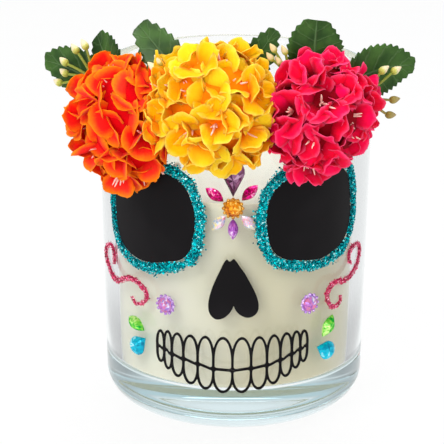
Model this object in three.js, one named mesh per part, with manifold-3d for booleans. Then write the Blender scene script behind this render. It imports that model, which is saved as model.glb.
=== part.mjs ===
// Skull candle: a thick-based glass tumbler filled with cream wax, dressed as a sugar skull.
// Vinyl eye sockets, nose and teeth lie on the front of the wall, with glitter glue round the
// eyes and in scrolls on the cheeks, and flat-backed stones on the forehead and cheeks.
// Three fabric flower heads, with leaves and bud sprigs behind them, are glued round the rim.
// Units are millimetres and degrees. +Z is up, the base is at Z = 0 on the tumbler's axis,
// and the face looks along -Y, with +X to its viewer's right.

import * as THREE from 'three';
import { mergeVertices } from 'three/addons/utils/BufferGeometryUtils.js';
import Module from 'manifold-3d';

// Tumbler
const JAR_HEIGHT = 127;
const RIM_RADIUS = 50;
const HEEL_RADIUS = 47.6;
const HEEL_HEIGHT = 12.7;
const HEEL_WIDTH = 16.2;
const WALL = 5.2;
const FLOOR = 17.3;
const FLOOR_FILLET = 3;
const JAR_SEGMENTS = 36;
const HEEL_STEPS = 4;
const FILLET_STEPS = 3;

// Wax and wicks
const WAX_HEADSPACE = 39;
const WAX_GAP = 0.3;
const WAX_DISH = 1.2;
const MENISCUS = 1.5;
const WICK_COUNT = 3;
const WICK_RADIUS = 1.2;
const WICK_PROUD = 6;
const TAB_RADIUS = 8;
const TAB_INSET = 7.7;
const TAB_THICKNESS = 0.5;
const TAB_SEGMENTS = 12;
const COLLAR_RADIUS = 2.4;
const COLLAR_HEIGHT = 5;

// Clearances shared by what is stuck on, and the overrun of every cut
const SEAT_GAP = 0.3;
const WELD = 0.001;
const OVERRUN = 2;

// Face: the wall height it is drawn for, vinyl sheet, glitter glue and its middle line
const FACE_WALL = 114.3;
const FACE_SHIFT = -0.6;
const VINYL = 0.4;
const GLITTER_HEIGHT = 1.1;
const RING_WIDTH = 3.8;
const SWIRL_WIDTH = 2.3;
const SWIRL_END_SHARE = 0.45;
const EYE_POINTS = 26;
const RING_POINTS = 34;
const SWIRL_POINTS = 26;
const EYE_PATCH_SHARES = [0.28, 0.64, 1];
const NOSE_PATCH_SHARES = [0.4, 1];

// Teeth: two rows that share a bite line, with their drawn line width
const TOOTH_LINE = 0.95;
const TEETH_WIDTH = 57.3;
const TEETH_HEIGHT = 22.2;
const TEETH_ABOVE_HEEL = 5.6;
const TEETH_SHIFT = -0.15;

// Nose
const NOSE_WIDTH = 17.9;
const NOSE_HEIGHT = 22.7;
const NOSE_ABOVE_TEETH = 5.8;
const NOSE_SHIFT = 0.3;

// Eyes, measured from the face's middle line and from the nose's lower edge
const LEFT_EYE = { side: -1, width: 36.4, height: 34.6, fromMiddle: 13.3, aboveNose: 17.9 };
const RIGHT_EYE = { side: 1, width: 36.8, height: 34.3, fromMiddle: 11.7, aboveNose: 19.7 };

// Scrolls, measured from the outer edge of the eye and down from its lower edge
const LEFT_SWIRL = { side: -1, width: 29, height: 17.4, pastEye: 12.6, belowEye: 17.3 };
const RIGHT_SWIRL = { side: 1, width: 20.6, height: 20.3, pastEye: 9.1, belowEye: 20.1 };

// Stones
const STONE_HEIGHT = 2.4;
const STONE_EDGE = 0.7;
const TABLE_SHARE = 0.5;
const NAVETTE_FULLNESS_SHARE = 0.85;
const NAVETTE = { length: 7.7, width: 4 };
const CLEAR_NAVETTE = { length: 7, width: 3.8 };
const SMALL_NAVETTE = { length: 7.6, width: 3.7 };
const CHEEK_NAVETTE = { length: 8.6, width: 4.6 };
const CHEEK_DROP = { length: 9.4, width: 7 };
const AMETHYST_DROP = { length: 13, width: 8 };
const ROSETTE_RADIUS = 3.95;
const ROSETTE_BASE = 0.9;
const ROSETTE_STONE_RADIUS = 2.65;
const BEAD_COUNT = 12;
const BEAD_NOTCH_SHARE = 0.87;
const BEAD_TOP_SHARE = 0.8;

// Forehead spray: stones set round a rosette, above the nose
const SPRAY_ABOVE_NOSE = 18.8;
const SPRAY_REACH = 3.7;

// Cheek stones: the round one clear of the scroll, the others from the side of the teeth, and
// all of them from the top of the teeth
const LEFT_CHEEK = { side: -1, roundGap: 4.7, roundUp: 9.3, greenOut: 10.1, greenDown: 1.2,
  blueOut: 9.2, blueDown: 9.0, greenTurn: -24.5, blueTurn: 42 };
const RIGHT_CHEEK = { side: 1, roundGap: 4.4, roundUp: 9.6, greenOut: 9.2, greenDown: 1.1,
  blueOut: 8.4, blueDown: 10.1, greenTurn: 57, blueTurn: 26 };

// Flower heads: arc round the rim from the front, centre below the rim, and half sizes
const FLOWERS = {
  orange: { arcLength: -38, drop: 11, halfWidth: 21.5, halfHeight: 26, depth: 23.5 },
  yellow: { arcLength: -6.7, drop: 1.5, halfWidth: 22.8, halfHeight: 24, depth: 26 },
  pink: { arcLength: 27.7, drop: 6.5, halfWidth: 21, halfHeight: 23.5, depth: 25 },
};
const STANDOFF = 3.2;
const FLORET_RADIUS = 9.2;
const FLORET_CUP = 4.6;
const FLORET_NECK = 2.2;
const PETAL_THICKNESS = 0.9;
const FLORET_LOBES = 4;
const FLORET_TURN = 137.5;
const FLORET_HEART_SHARES = { radius: 0.45, lift: 0.2, lobed: 0.5 };
const HEAD_RINGS = [{ polar: 0, count: 1 }, { polar: 46, count: 5 }, { polar: 80, count: 6 }];
const GLUE_RADIUS = 6;
const GLUE_BELOW_RIM = 7;
const GLUE_WAIST_SHARE = 0.85;

// Leaves, each behind a flower: the way it leaves the glue, its bend in its own plane,
// how far its tip reaches, its width, and how far the tip curls out (or back, below zero)
const LEAF_LAYER = 0.75;
const LEAF_THICKNESS = 0.8;
const LEAF_CAMBER = 0.5;
const STALK_WIDTH = 1.6;
const STALK_LENGTH = 8;
const SAWTOOTH = 0.9;
const LEAF_BELLY_SHARE = 0.8;
const LEAF_FULLNESS_SHARE = 0.7;
const LEAF_STATIONS = 13;
const LEAF_TIP_SHARE = 0.6;
const LEAVES = {
  leaf_orange_side: { flower: 'orange', clock: 150, bend: 30, reach: 47, width: 19, curl: 1.5 },
  leaf_orange_top: { flower: 'orange', clock: 129, bend: 6, reach: 34, width: 18, curl: -4 },
  leaf_yellow_left: { flower: 'yellow', clock: 129.8, bend: 6, reach: 43, width: 14.4, curl: -6.2 },
  leaf_yellow_right: { flower: 'yellow', clock: 57, bend: 0, reach: 37.5, width: 11, curl: -3 },
  leaf_pink_top: { flower: 'pink', clock: 92, bend: -14, reach: 33.5, width: 23, curl: -2 },
  leaf_pink_side: { flower: 'pink', clock: 35, bend: -44, reach: 45, width: 19, curl: 0.5 },
};

// Bud sprigs, each behind a flower: the way it leaves the glue, its reach, the height of the
// buds above the stalk, and the fork and every bud as a way and a share of the reach
const SPRIG_LAYER = 2.15;
const STEM_RADIUS = 0.5;
const BUD_RADIUS = 1.4;
const BUD_LENGTH = 4.6;
const BUD_BELLY_SHARE = 0.4;
const BUD_SHOULDER_SHARE = 0.8;
const BUD_NECK_SHARE = 0.6;
const SPRIGS = {
  sprig_orange: { flower: 'orange', clock: 150, reach: 38.5, height: 2.3,
    forkShare: 0.57, budClocks: [132, 141, 154, 160, 168], budShares: [0.883, 0.935, 0.987, 0.948, 1] },
  sprig_yellow: { flower: 'yellow', clock: 136, reach: 30, height: 1,
    forkShare: 0.6, budClocks: [133.5, 140], budShares: [1, 1] },
  sprig_pink_left: { flower: 'pink', clock: 128, reach: 33.5, height: 0.8,
    forkShare: 0.567, budClocks: [130.5, 125.5, 119.5, 127.5], budShares: [0.955, 1, 0.896, 0.851] },
  sprig_pink_right: { flower: 'pink', clock: 12, reach: 36.5, height: 2.3,
    forkShare: 0.548, budClocks: [26, 21, 3, -7], budShares: [0.877, 1, 0.932, 0.896] },
};

// Outlines as shares of half the width and half the height of the form they belong to
const LEFT_EYE_SHARES = [[1, 0.07], [0.98, 0.27], [0.91, 0.51], [0.775, 0.785], [0.53, 0.94],
  [0.06, 1], [-0.43, 0.91], [-0.79, 0.68], [-0.97, 0.275], [-1, -0.1], [-0.96, -0.42],
  [-0.86, -0.68], [-0.67, -0.855], [-0.38, -0.98], [0, -1], [0.39, -0.91], [0.69, -0.82],
  [0.87, -0.65], [0.955, -0.35]];
const RIGHT_EYE_SHARES = [[1, -0.22], [0.98, 0.07], [0.93, 0.42], [0.815, 0.71], [0.57, 0.91],
  [0.08, 1], [-0.41, 0.965], [-0.66, 0.81], [-0.87, 0.6], [-0.98, 0.3], [-1, -0.14],
  [-0.96, -0.45], [-0.84, -0.72], [-0.625, -0.88], [-0.3, -0.955], [0.185, -1], [0.49, -0.92],
  [0.735, -0.81], [0.91, -0.585]];
const NOSE_SHARES = [[-0.26, 0.98], [-0.15, 0.91], [0, 1], [0.22, 0.78], [0.45, 0.515],
  [0.63, 0.25], [0.82, -0.05], [0.95, -0.31], [1, -0.54], [0.96, -0.74], [0.82, -0.87],
  [0.595, -0.93], [0.37, -0.885], [0.185, -0.78], [0.055, -0.63], [0.01, -0.54], [-0.04, -0.63],
  [-0.185, -0.81], [-0.41, -0.955], [-0.67, -1], [-0.86, -0.91], [-0.97, -0.755], [-1, -0.54],
  [-0.97, -0.34], [-0.86, -0.01], [-0.71, 0.3], [-0.52, 0.63], [-0.37, 0.89]];
const LEFT_SWIRL_SHARES = [[-0.33, 0.28], [-0.31, 0.64], [-0.41, 0.98], [-0.65, 0.97],
  [-0.875, 0.69], [-0.93, 0.36], [-0.7, -0.02], [-0.455, -0.3], [-0.21, -0.38], [0.035, -0.235],
  [0.28, -0.045], [0.58, 0.01], [0.83, -0.14], [1, -0.41], [0.97, -0.71], [0.8, -0.93],
  [0.59, -0.98], [0.47, -0.75]];
const RIGHT_SWIRL_SHARES = [[0.32, 0.35], [0.145, 0.575], [0.185, 0.82], [0.43, 0.97],
  [0.74, 0.98], [0.98, 0.8], [0.99, 0.53], [0.875, 0.26], [0.63, 0.055], [0.32, -0.1],
  [-0.1, -0.16], [-0.515, -0.075], [-0.825, -0.18], [-1, -0.43], [-0.93, -0.755], [-0.72, -0.97],
  [-0.495, -0.99], [-0.3, -0.85], [-0.3, -0.655]];

// Teeth as shares of their width from the left, and of their height from the lowest point:
// the walls between teeth, the bite line at each wall, and the far end of every tooth
const TOOTH_WALL_SHARES = [0, 0.052, 0.108, 0.188, 0.283, 0.384, 0.504, 0.621, 0.722, 0.81,
  0.888, 0.948, 1];
const BITE_SHARES = [0.68, 0.645, 0.577, 0.53, 0.473, 0.41, 0.396, 0.428, 0.464, 0.53, 0.608,
  0.667, 0.712];
const UPPER_END_SHARES = [0.964, 0.977, 0.968, 0.964, 0.97, 0.968, 0.968, 0.973, 0.985, 0.995,
  1, 0.99];
const LOWER_END_SHARES = [0.4, 0.3, 0.2, 0.108, 0.045, 0, 0.005, 0.054, 0.126, 0.225, 0.342,
  0.428];
const TOOTH_SHOULDER_SHARE = 0.4;
const TOOTH_SQUARENESS = 0.9;
const TOOTH_ARC_STEPS = 5;

const COLOURS = {
  glass: 0xdfe7ea, wax: 0xe2decd, wick: 0xe9e3d2, steel: 0xb9bcbf, vinyl: 0x1a181a,
  teal: 0x0096a0, rose: 0xbe2d5a, gold: 0xe08a12, amethyst: 0x5d3d63, magenta: 0xd40087,
  iridescent: 0xe9c9d4, lavender: 0xa44fb4, lilac: 0xb68ad0, green: 0x23b45a, blue: 0x149bb8,
  orange: 0xf0501e, yellow: 0xfcb80c, pink: 0xe8124f, leaf: 0x2c5227, bud: 0xd8cf9a,
  glue: 0xe6e4da,
};

const wasm = await Module();
wasm.setup();

const radians = THREE.MathUtils.degToRad;
const mix = THREE.MathUtils.lerp;

// Surface material of one finish
function finish(colour, roughness, metalness = 0) {
  return new THREE.MeshStandardMaterial({ color: colour, roughness, metalness });
}

// Six times the signed volume of an indexed triangle mesh
function signedVolume(positions, index) {
  const a = new THREE.Vector3();
  const b = new THREE.Vector3();
  const c = new THREE.Vector3();
  let total = 0;
  for (let i = 0; i < index.length; i += 3) {
    a.fromArray(positions, index[i] * 3);
    b.fromArray(positions, index[i + 1] * 3);
    c.fromArray(positions, index[i + 2] * 3);
    total += a.dot(b.cross(c));
  }
  return total;
}

// Closed mesh with shared vertices, no collapsed triangles and its faces pointing out
function welded(source) {
  const bare = source.clone();
  bare.deleteAttribute('normal');
  bare.deleteAttribute('uv');
  const merged = mergeVertices(bare, WELD);
  const positions = merged.attributes.position.array;
  const index = [];
  const old = merged.index.array;
  for (let i = 0; i < old.length; i += 3) {
    const [a, b, c] = [old[i], old[i + 1], old[i + 2]];
    if (a !== b && b !== c && c !== a) {
      index.push(a, b, c);
    }
  }
  if (signedVolume(positions, index) < 0) {
    index.reverse();
  }
  merged.setIndex(index);
  return merged;
}

function toSolid(geometry) {
  const mesh = welded(geometry);
  return new wasm.Manifold(new wasm.Mesh({
    numProp: 3,
    vertProperties: new Float32Array(mesh.attributes.position.array),
    triVerts: new Uint32Array(mesh.index.array),
  }));
}

function fromSolid(solid) {
  const mesh = solid.getMesh();
  const geometry = new THREE.BufferGeometry();
  geometry.setAttribute('position', new THREE.BufferAttribute(mesh.vertProperties, 3));
  geometry.setIndex(new THREE.BufferAttribute(mesh.triVerts, 1));
  return geometry;
}

function joined(geometries) {
  const solids = geometries.map(toSolid);
  return fromSolid(solids.slice(1).reduce((sum, next) => sum.add(next), solids[0]));
}

function cut(geometry, tools) {
  return fromSolid(tools.reduce((rest, tool) => rest.subtract(toSolid(tool)), toSolid(geometry)));
}

// Solid of revolution about Z, through [radius, height] points
function turned(profile, segments) {
  const points = profile.map(([r, z]) => new THREE.Vector2(r, z));
  return new THREE.LatheGeometry(points, segments).rotateX(Math.PI / 2);
}

// Solid lofted through rings of equal point counts. Its two ends close on their own middle
// points, or the rings run round into a loop.
function lofted(rings, loop = false) {
  const count = rings[0].length;
  const points = rings.flat();
  const index = [];
  const bands = loop ? rings.length : rings.length - 1;
  for (let i = 0; i < bands; i += 1) {
    const here = i * count;
    const next = ((i + 1) % rings.length) * count;
    for (let j = 0; j < count; j += 1) {
      const k = (j + 1) % count;
      index.push(here + j, here + k, next + j, here + k, next + k, next + j);
    }
  }
  if (!loop) {
    for (const [ring, turn] of [[0, 1], [rings.length - 1, -1]]) {
      const middle = new THREE.Vector3();
      rings[ring].forEach((p) => middle.addScaledVector(p, 1 / count));
      points.push(middle);
      for (let j = 0; j < count; j += 1) {
        const a = ring * count + j;
        const b = ring * count + ((j + 1) % count);
        index.push(points.length - 1, turn > 0 ? b : a, turn > 0 ? a : b);
      }
    }
  }
  const geometry = new THREE.BufferGeometry().setFromPoints(points);
  geometry.setIndex(index);
  return geometry;
}

// Quarter of an ellipse from one [radius, height] point to another, without the first one.
// outward says that it leaves the first point along the radius.
function quarter([r0, z0], [r1, z1], steps, outward) {
  const arc = [];
  for (let i = 1; i <= steps; i += 1) {
    const angle = (i / steps) * (Math.PI / 2);
    const across = outward ? Math.sin(angle) : 1 - Math.cos(angle);
    const along = outward ? 1 - Math.cos(angle) : Math.sin(angle);
    arc.push([mix(r0, r1, across), mix(z0, z1, along)]);
  }
  return arc;
}

// Tumbler wall: outer radius at a height, with its straight taper from heel to rim
function wallRadius(z) {
  return mix(HEEL_RADIUS, RIM_RADIUS, (z - HEEL_HEIGHT) / (JAR_HEIGHT - HEEL_HEIGHT));
}

// Outer profile from the base's middle to the rim, moved out by a gap
function outerProfile(gap) {
  const foot = [HEEL_RADIUS - HEEL_WIDTH, -gap];
  const heel = [HEEL_RADIUS + gap, HEEL_HEIGHT];
  const shoulder = [RIM_RADIUS + gap, JAR_HEIGHT - WALL / 2];
  return [[0, -gap], foot, ...quarter(foot, heel, HEEL_STEPS, true), shoulder];
}

function glassJar() {
  const lipRadius = WALL / 2;
  const lipHeight = JAR_HEIGHT - lipRadius;
  const outside = [RIM_RADIUS, lipHeight];
  const top = [RIM_RADIUS - lipRadius, JAR_HEIGHT];
  const inside = [RIM_RADIUS - WALL, lipHeight];
  const filletTop = [wallRadius(FLOOR + FLOOR_FILLET) - WALL, FLOOR + FLOOR_FILLET];
  const filletFoot = [filletTop[0] - FLOOR_FILLET, FLOOR];
  return turned([
    ...outerProfile(0),
    ...quarter(outside, top, 2, false),
    ...quarter(top, inside, 2, true),
    filletTop,
    ...quarter(filletTop, filletFoot, FILLET_STEPS, false),
    [0, FLOOR],
  ], JAR_SEGMENTS);
}

// Sheet-metal foot that holds a wick upright on the glass floor
function wickTab() {
  const bore = WICK_RADIUS + SEAT_GAP;
  const collarTop = FLOOR + COLLAR_HEIGHT;
  const plateTop = FLOOR + TAB_THICKNESS;
  return turned([[bore, FLOOR], [TAB_RADIUS, FLOOR], [TAB_RADIUS, plateTop],
    [COLLAR_RADIUS, plateTop], [COLLAR_RADIUS, collarTop], [bore, collarTop], [bore, FLOOR]],
  TAB_SEGMENTS);
}

const waxTop = JAR_HEIGHT - WAX_HEADSPACE;

function wick() {
  return turned([[0, FLOOR], [WICK_RADIUS, FLOOR], [WICK_RADIUS, waxTop + WICK_PROUD],
    [0, waxTop + WICK_PROUD]], 8);
}

// Places of the wicks round the tumbler's axis, with their tabs on the flat of its floor
function wickPlaces() {
  const floorRadius = wallRadius(FLOOR + FLOOR_FILLET) - WALL - FLOOR_FILLET;
  const circle = floorRadius - TAB_INSET - TAB_RADIUS;
  return Array.from({ length: WICK_COUNT }, (_, i) => {
    const angle = radians(90) + (i / WICK_COUNT) * Math.PI * 2;
    return [circle * Math.cos(angle), circle * Math.sin(angle)];
  });
}

// Room in the wax for a wick and its tab
function wickRoom() {
  const plate = TAB_RADIUS + SEAT_GAP;
  const plateTop = FLOOR + TAB_THICKNESS + SEAT_GAP;
  const collar = COLLAR_RADIUS + SEAT_GAP;
  const collarTop = FLOOR + COLLAR_HEIGHT + SEAT_GAP;
  const bore = WICK_RADIUS + SEAT_GAP;
  return turned([[0, FLOOR - OVERRUN], [plate, FLOOR - OVERRUN], [plate, plateTop],
    [collar, plateTop], [collar, collarTop], [bore, collarTop], [bore, waxTop + OVERRUN],
    [0, waxTop + OVERRUN]], TAB_SEGMENTS);
}

// Poured wax: it rests on the floor, creeps up the glass and dishes towards its middle
function waxFill() {
  const edge = wallRadius(waxTop) - WALL - WAX_GAP;
  const filletTop = [wallRadius(FLOOR + FLOOR_FILLET) - WALL - WAX_GAP, FLOOR + FLOOR_FILLET];
  const filletFoot = [filletTop[0] - FLOOR_FILLET, FLOOR];
  const body = turned([
    [0, FLOOR],
    filletFoot,
    ...quarter(filletFoot, filletTop, FILLET_STEPS, true),
    [edge, waxTop],
    [edge - MENISCUS, waxTop - MENISCUS / 2],
    [0, waxTop - WAX_DISH],
  ], JAR_SEGMENTS);
  return cut(body, wickPlaces().map(([x, y]) => wickRoom().translate(x, y, 0)));
}

// Lengths along the wall are arcs of its middle radius, counted from the front to the right
const faceRadius = (RIM_RADIUS + HEEL_RADIUS) / 2;

// How far the face is stretched up the wall
const faceFit = (JAR_HEIGHT - HEEL_HEIGHT) / FACE_WALL;

// Point in front of the wall, as [along, height] on the drawn face and its height off the wall
function onWall(along, height, proud) {
  const angle = along / faceRadius;
  const z = HEEL_HEIGHT + (height - HEEL_HEIGHT) * faceFit;
  const radius = wallRadius(z) + proud;
  return new THREE.Vector3(radius * Math.sin(angle), -radius * Math.cos(angle), z);
}

// Carries a flat piece, drawn in XY with its back at Z = 0, to a place on the wall. It stays flat.
function setOnWall(geometry, along, height, turn) {
  const angle = along / faceRadius;
  const out = new THREE.Vector3(Math.sin(angle), -Math.cos(angle), 0);
  const across = new THREE.Vector3(Math.cos(angle), Math.sin(angle), 0);
  const slope = (RIM_RADIUS - HEEL_RADIUS) / (JAR_HEIGHT - HEEL_HEIGHT);
  const up = out.clone().multiplyScalar(slope).add(new THREE.Vector3(0, 0, 1)).normalize();
  const facing = across.clone().cross(up);
  const frame = new THREE.Matrix4().makeBasis(across, up, facing);
  frame.setPosition(onWall(along, height, SEAT_GAP));
  return geometry.rotateZ(radians(turn)).applyMatrix4(frame);
}

// Outline on the wall from shares of a form's half sizes, as a smooth closed or open curve
function curveOnFace(shares, middle, form, closed, count) {
  const points = shares.map(([x, y]) => new THREE.Vector3(
    middle[0] + (x * form.width) / 2, middle[1] + (y * form.height) / 2, 0));
  const curve = new THREE.CatmullRomCurve3(points, closed, 'centripetal');
  const spaced = curve.getSpacedPoints(count);
  return closed ? spaced.slice(0, count) : spaced;
}

// Vinyl patch: rings shrink towards a middle on its back, and grow again on its face,
// so that the sheet follows the round wall
function vinylPatch(outline, middle, shrinkShares) {
  const ringAt = (share, proud) => outline.map((p) => onWall(
    mix(middle[0], p.x, share), mix(middle[1], p.y, share), proud));
  const back = shrinkShares.map((share) => ringAt(share, SEAT_GAP));
  const face = shrinkShares.map((share) => ringAt(share, SEAT_GAP + VINYL)).reverse();
  return lofted([...back, ...face]);
}

// Raised line of glitter glue along a path on the wall. It is domed, and its width can taper.
function glueLine(path, loop, halfWidthAt, sideways) {
  const acrossShares = [-1, -0.62, 0.62, 1];
  const heightShares = [0, 1, 1, 0];
  const rings = path.map((p, i) => {
    const before = path[loop ? (i + path.length - 1) % path.length : Math.max(i - 1, 0)];
    const after = path[loop ? (i + 1) % path.length : Math.min(i + 1, path.length - 1)];
    const ahead = after.clone().sub(before).normalize();
    const half = halfWidthAt(i / (path.length - 1));
    return acrossShares.map((share, k) => {
      const reach = sideways + share * half;
      const rise = SEAT_GAP + heightShares[k] * GLITTER_HEIGHT;
      return onWall(p.x + ahead.y * reach, p.y - ahead.x * reach, rise);
    });
  });
  return lofted(rings, loop);
}

// Heights that the face is stacked from
const teethFoot = HEEL_HEIGHT + TEETH_ABOVE_HEEL;
const teethTop = teethFoot + TEETH_HEIGHT;
const noseFoot = teethTop + NOSE_ABOVE_TEETH;
const noseMiddle = [FACE_SHIFT + NOSE_SHIFT, noseFoot + NOSE_HEIGHT / 2];
const sprayMiddle = [FACE_SHIFT, noseFoot + NOSE_HEIGHT + SPRAY_ABOVE_NOSE];

function eyeMiddle(eye) {
  return [FACE_SHIFT + eye.side * (eye.fromMiddle + eye.width / 2),
    noseFoot + eye.aboveNose + eye.height / 2];
}

function eyeSocket(eye, shares) {
  const middle = eyeMiddle(eye);
  return vinylPatch(curveOnFace(shares, middle, eye, true, EYE_POINTS), middle, EYE_PATCH_SHARES);
}

function eyeRing(eye, shares) {
  const outline = curveOnFace(shares, eyeMiddle(eye), eye, true, RING_POINTS);
  return glueLine(outline, true, () => RING_WIDTH / 2, SEAT_GAP + RING_WIDTH / 2);
}

function nose() {
  const form = { width: NOSE_WIDTH, height: NOSE_HEIGHT };
  const outline = NOSE_SHARES.map(([x, y]) => new THREE.Vector3(
    noseMiddle[0] + (x * form.width) / 2, noseMiddle[1] + (y * form.height) / 2, 0));
  return vinylPatch(outline, noseMiddle, NOSE_PATCH_SHARES);
}

function swirlMiddle(form, eye) {
  const [eyeX, eyeZ] = eyeMiddle(eye);
  const outerEdge = eyeX + eye.side * (eye.width / 2 + form.pastEye);
  return [outerEdge - (form.side * form.width) / 2,
    eyeZ - eye.height / 2 - form.belowEye + form.height / 2];
}

function swirl(form, shares, eye) {
  const middle = swirlMiddle(form, eye);
  const path = curveOnFace(shares, middle, form, false, SWIRL_POINTS);
  const taper = (share) => (SWIRL_WIDTH / 2) * mix(SWIRL_END_SHARE, 1, Math.sin(Math.PI * share));
  return glueLine(path, false, taper, 0);
}

// Outline of one drawn tooth, from its bite corners to its rounded end. inset is how far it
// lies inside the middle of its drawn lines, and is negative for their outer edge.
function toothOutline(tooth, inset) {
  const { left, right, biteLeft, biteRight, end } = tooth;
  const up = Math.sign(end - biteLeft);
  const tip = end - (up * TOOTH_LINE) / 2;
  const bite = (biteLeft + biteRight) / 2;
  const shoulder = mix(tip, bite, TOOTH_SHOULDER_SHARE);
  const middle = (left + right) / 2;
  const half = (right - left) / 2 - inset;
  const arc = Array.from({ length: TOOTH_ARC_STEPS + 1 }, (_, i) => {
    const angle = Math.PI * (1 - i / TOOTH_ARC_STEPS);
    const across = Math.sign(Math.cos(angle)) * Math.abs(Math.cos(angle)) ** TOOTH_SQUARENESS;
    const along = Math.sin(angle) ** TOOTH_SQUARENESS;
    return [middle + half * across, mix(shoulder, tip - up * inset, along)];
  });
  return [...arc, [right - inset, biteRight + up * inset], [left + inset, biteLeft + up * inset]];
}

// Flat sheet of an outline drawn in XY
function sheet(outline, from, to) {
  const shape = new THREE.Shape(outline.map(([x, y]) => new THREE.Vector2(x, y)));
  const flat = new THREE.ExtrudeGeometry(shape, { depth: to - from, bevelEnabled: false });
  return flat.translate(0, 0, from);
}

// Drawn grid of the teeth: one sheet of rounded teeth in two rows, with a window in each
function teeth() {
  const left = FACE_SHIFT + TEETH_SHIFT - TEETH_WIDTH / 2;
  const walls = TOOTH_WALL_SHARES.map((share) => left + share * TEETH_WIDTH);
  const bite = BITE_SHARES.map((share) => teethFoot + share * TEETH_HEIGHT);
  const line = TOOTH_LINE / 2;
  const rows = [UPPER_END_SHARES, LOWER_END_SHARES].flatMap((ends) => ends.map((share, i) => ({
    left: walls[i],
    right: walls[i + 1],
    biteLeft: bite[i],
    biteRight: bite[i + 1],
    end: teethFoot + share * TEETH_HEIGHT,
  })));
  const faces = rows.map((tooth) => sheet(toothOutline(tooth, -line), 0, VINYL));
  const windows = rows.map((tooth) => sheet(toothOutline(tooth, line), -OVERRUN, VINYL + OVERRUN));
  return bentOnWall(cut(joined(faces), windows));
}

// Wraps a flat sheet, drawn along the wall and up it, round the wall
function bentOnWall(geometry) {
  const position = geometry.attributes.position;
  for (let i = 0; i < position.count; i += 1) {
    const bent = onWall(position.getX(i), position.getY(i), SEAT_GAP + position.getZ(i));
    position.setXYZ(i, bent.x, bent.y, bent.z);
  }
  return geometry;
}

// Faceted stone over an outline: a low edge, sloping crown facets and a flat table
function stone(outline) {
  const ringAt = (share, height) => outline.map(([x, y]) => new THREE.Vector3(
    x * share, y * share, height));
  return lofted([ringAt(1, 0), ringAt(1, STONE_EDGE), ringAt(TABLE_SHARE, STONE_HEIGHT)]);
}

// Pointed oval between two arcs, long way along Y
function navetteOutline({ length, width }) {
  const steps = 6;
  const bow = (share) => (width / 2) * Math.sin(Math.PI * share) ** NAVETTE_FULLNESS_SHARE;
  const side = Array.from({ length: steps }, (_, i) => i / steps);
  return [...side.map((s) => [bow(s), length * (s - 0.5)]),
    ...side.map((s) => [-bow(s), length * (0.5 - s)])];
}

// Teardrop with its point at -Y and a round end at +Y
function dropOutline({ length, width }) {
  const radius = width / 2;
  const centre = length / 2 - radius;
  const rise = Math.asin(radius / (length - radius));
  const steps = 8;
  const arc = Array.from({ length: steps + 1 }, (_, i) => {
    const angle = -rise + (i / steps) * (Math.PI + 2 * rise);
    return [radius * Math.cos(angle), centre + radius * Math.sin(angle)];
  });
  return [[0, -length / 2], ...arc];
}

// Round stone in a rim of beads, drawn as a scalloped collar round a faceted crown
function rosette() {
  const rim = Array.from({ length: BEAD_COUNT * 2 }, (_, i) => {
    const angle = (i / (BEAD_COUNT * 2)) * Math.PI * 2;
    const radius = ROSETTE_RADIUS * (i % 2 ? BEAD_NOTCH_SHARE : 1);
    return [radius * Math.cos(angle), radius * Math.sin(angle)];
  });
  const ringAt = (share, height) => rim.map(([x, y]) => new THREE.Vector3(x * share, y * share, height));
  const collarTop = ROSETTE_BASE + STONE_EDGE;
  const beads = lofted([ringAt(1, 0), ringAt(1, ROSETTE_BASE), ringAt(BEAD_TOP_SHARE, collarTop)]);
  const top = ROSETTE_BASE + STONE_HEIGHT;
  const crown = turned([
    [0, ROSETTE_BASE / 2],
    [ROSETTE_STONE_RADIUS, ROSETTE_BASE / 2],
    [ROSETTE_STONE_RADIUS, collarTop + SEAT_GAP],
    [ROSETTE_STONE_RADIUS * TABLE_SHARE, top],
    [0, top],
  ], 10);
  return joined([beads, crown]);
}

// Flower frame: its seat on the wall below the rim, and unit directions out, across and up
function flowerFrame(name) {
  const flower = FLOWERS[name];
  const azimuth = flower.arcLength / RIM_RADIUS;
  const out = new THREE.Vector3(Math.sin(azimuth), -Math.cos(azimuth), 0);
  const across = new THREE.Vector3(Math.cos(azimuth), Math.sin(azimuth), 0);
  const centreHeight = JAR_HEIGHT - flower.drop;
  const seatHeight = Math.min(centreHeight, JAR_HEIGHT - GLUE_BELOW_RIM);
  const up = new THREE.Vector3(0, 0, 1);
  const at = (along, height, layer) => out.clone().multiplyScalar(RIM_RADIUS + layer)
    .addScaledVector(across, along).addScaledVector(up, height);
  return { ...flower, out, across, up, centreHeight, seatHeight, at };
}

// Drawn with its own axis along +Z and turned to face a direction
function facing(geometry, direction, origin) {
  const turn = new THREE.Quaternion().setFromUnitVectors(new THREE.Vector3(0, 0, 1), direction);
  return geometry.applyQuaternion(turn).translate(origin.x, origin.y, origin.z);
}

// One floret: a cup of rounded lobes on a short neck, open along +Z
function floret(spin) {
  const perLobe = 3;
  const count = FLORET_LOBES * perLobe;
  const heart = FLORET_HEART_SHARES;
  const lobeShares = [0.7, 1, 1];
  const liftShares = [0.5, 1, 0.9];
  const angleShares = [0, 0.3, 0.7];
  const ringAt = (radius, lift, lobed) => Array.from({ length: count }, (_, i) => {
    const lobe = Math.floor(i / perLobe);
    const k = i % perLobe;
    const angle = spin + ((lobe + angleShares[k]) / FLORET_LOBES) * Math.PI * 2;
    const r = radius * mix(1, lobeShares[k], lobed);
    return new THREE.Vector3(r * Math.cos(angle), r * Math.sin(angle),
      lift * mix(1, liftShares[k], lobed));
  });
  return lofted([
    ringAt(FLORET_NECK, -FLORET_CUP, 0),
    ringAt(FLORET_RADIUS, FLORET_CUP, 1),
    ringAt(FLORET_RADIUS * heart.radius, FLORET_CUP * heart.lift + PETAL_THICKNESS, heart.lobed),
  ]);
}

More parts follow.
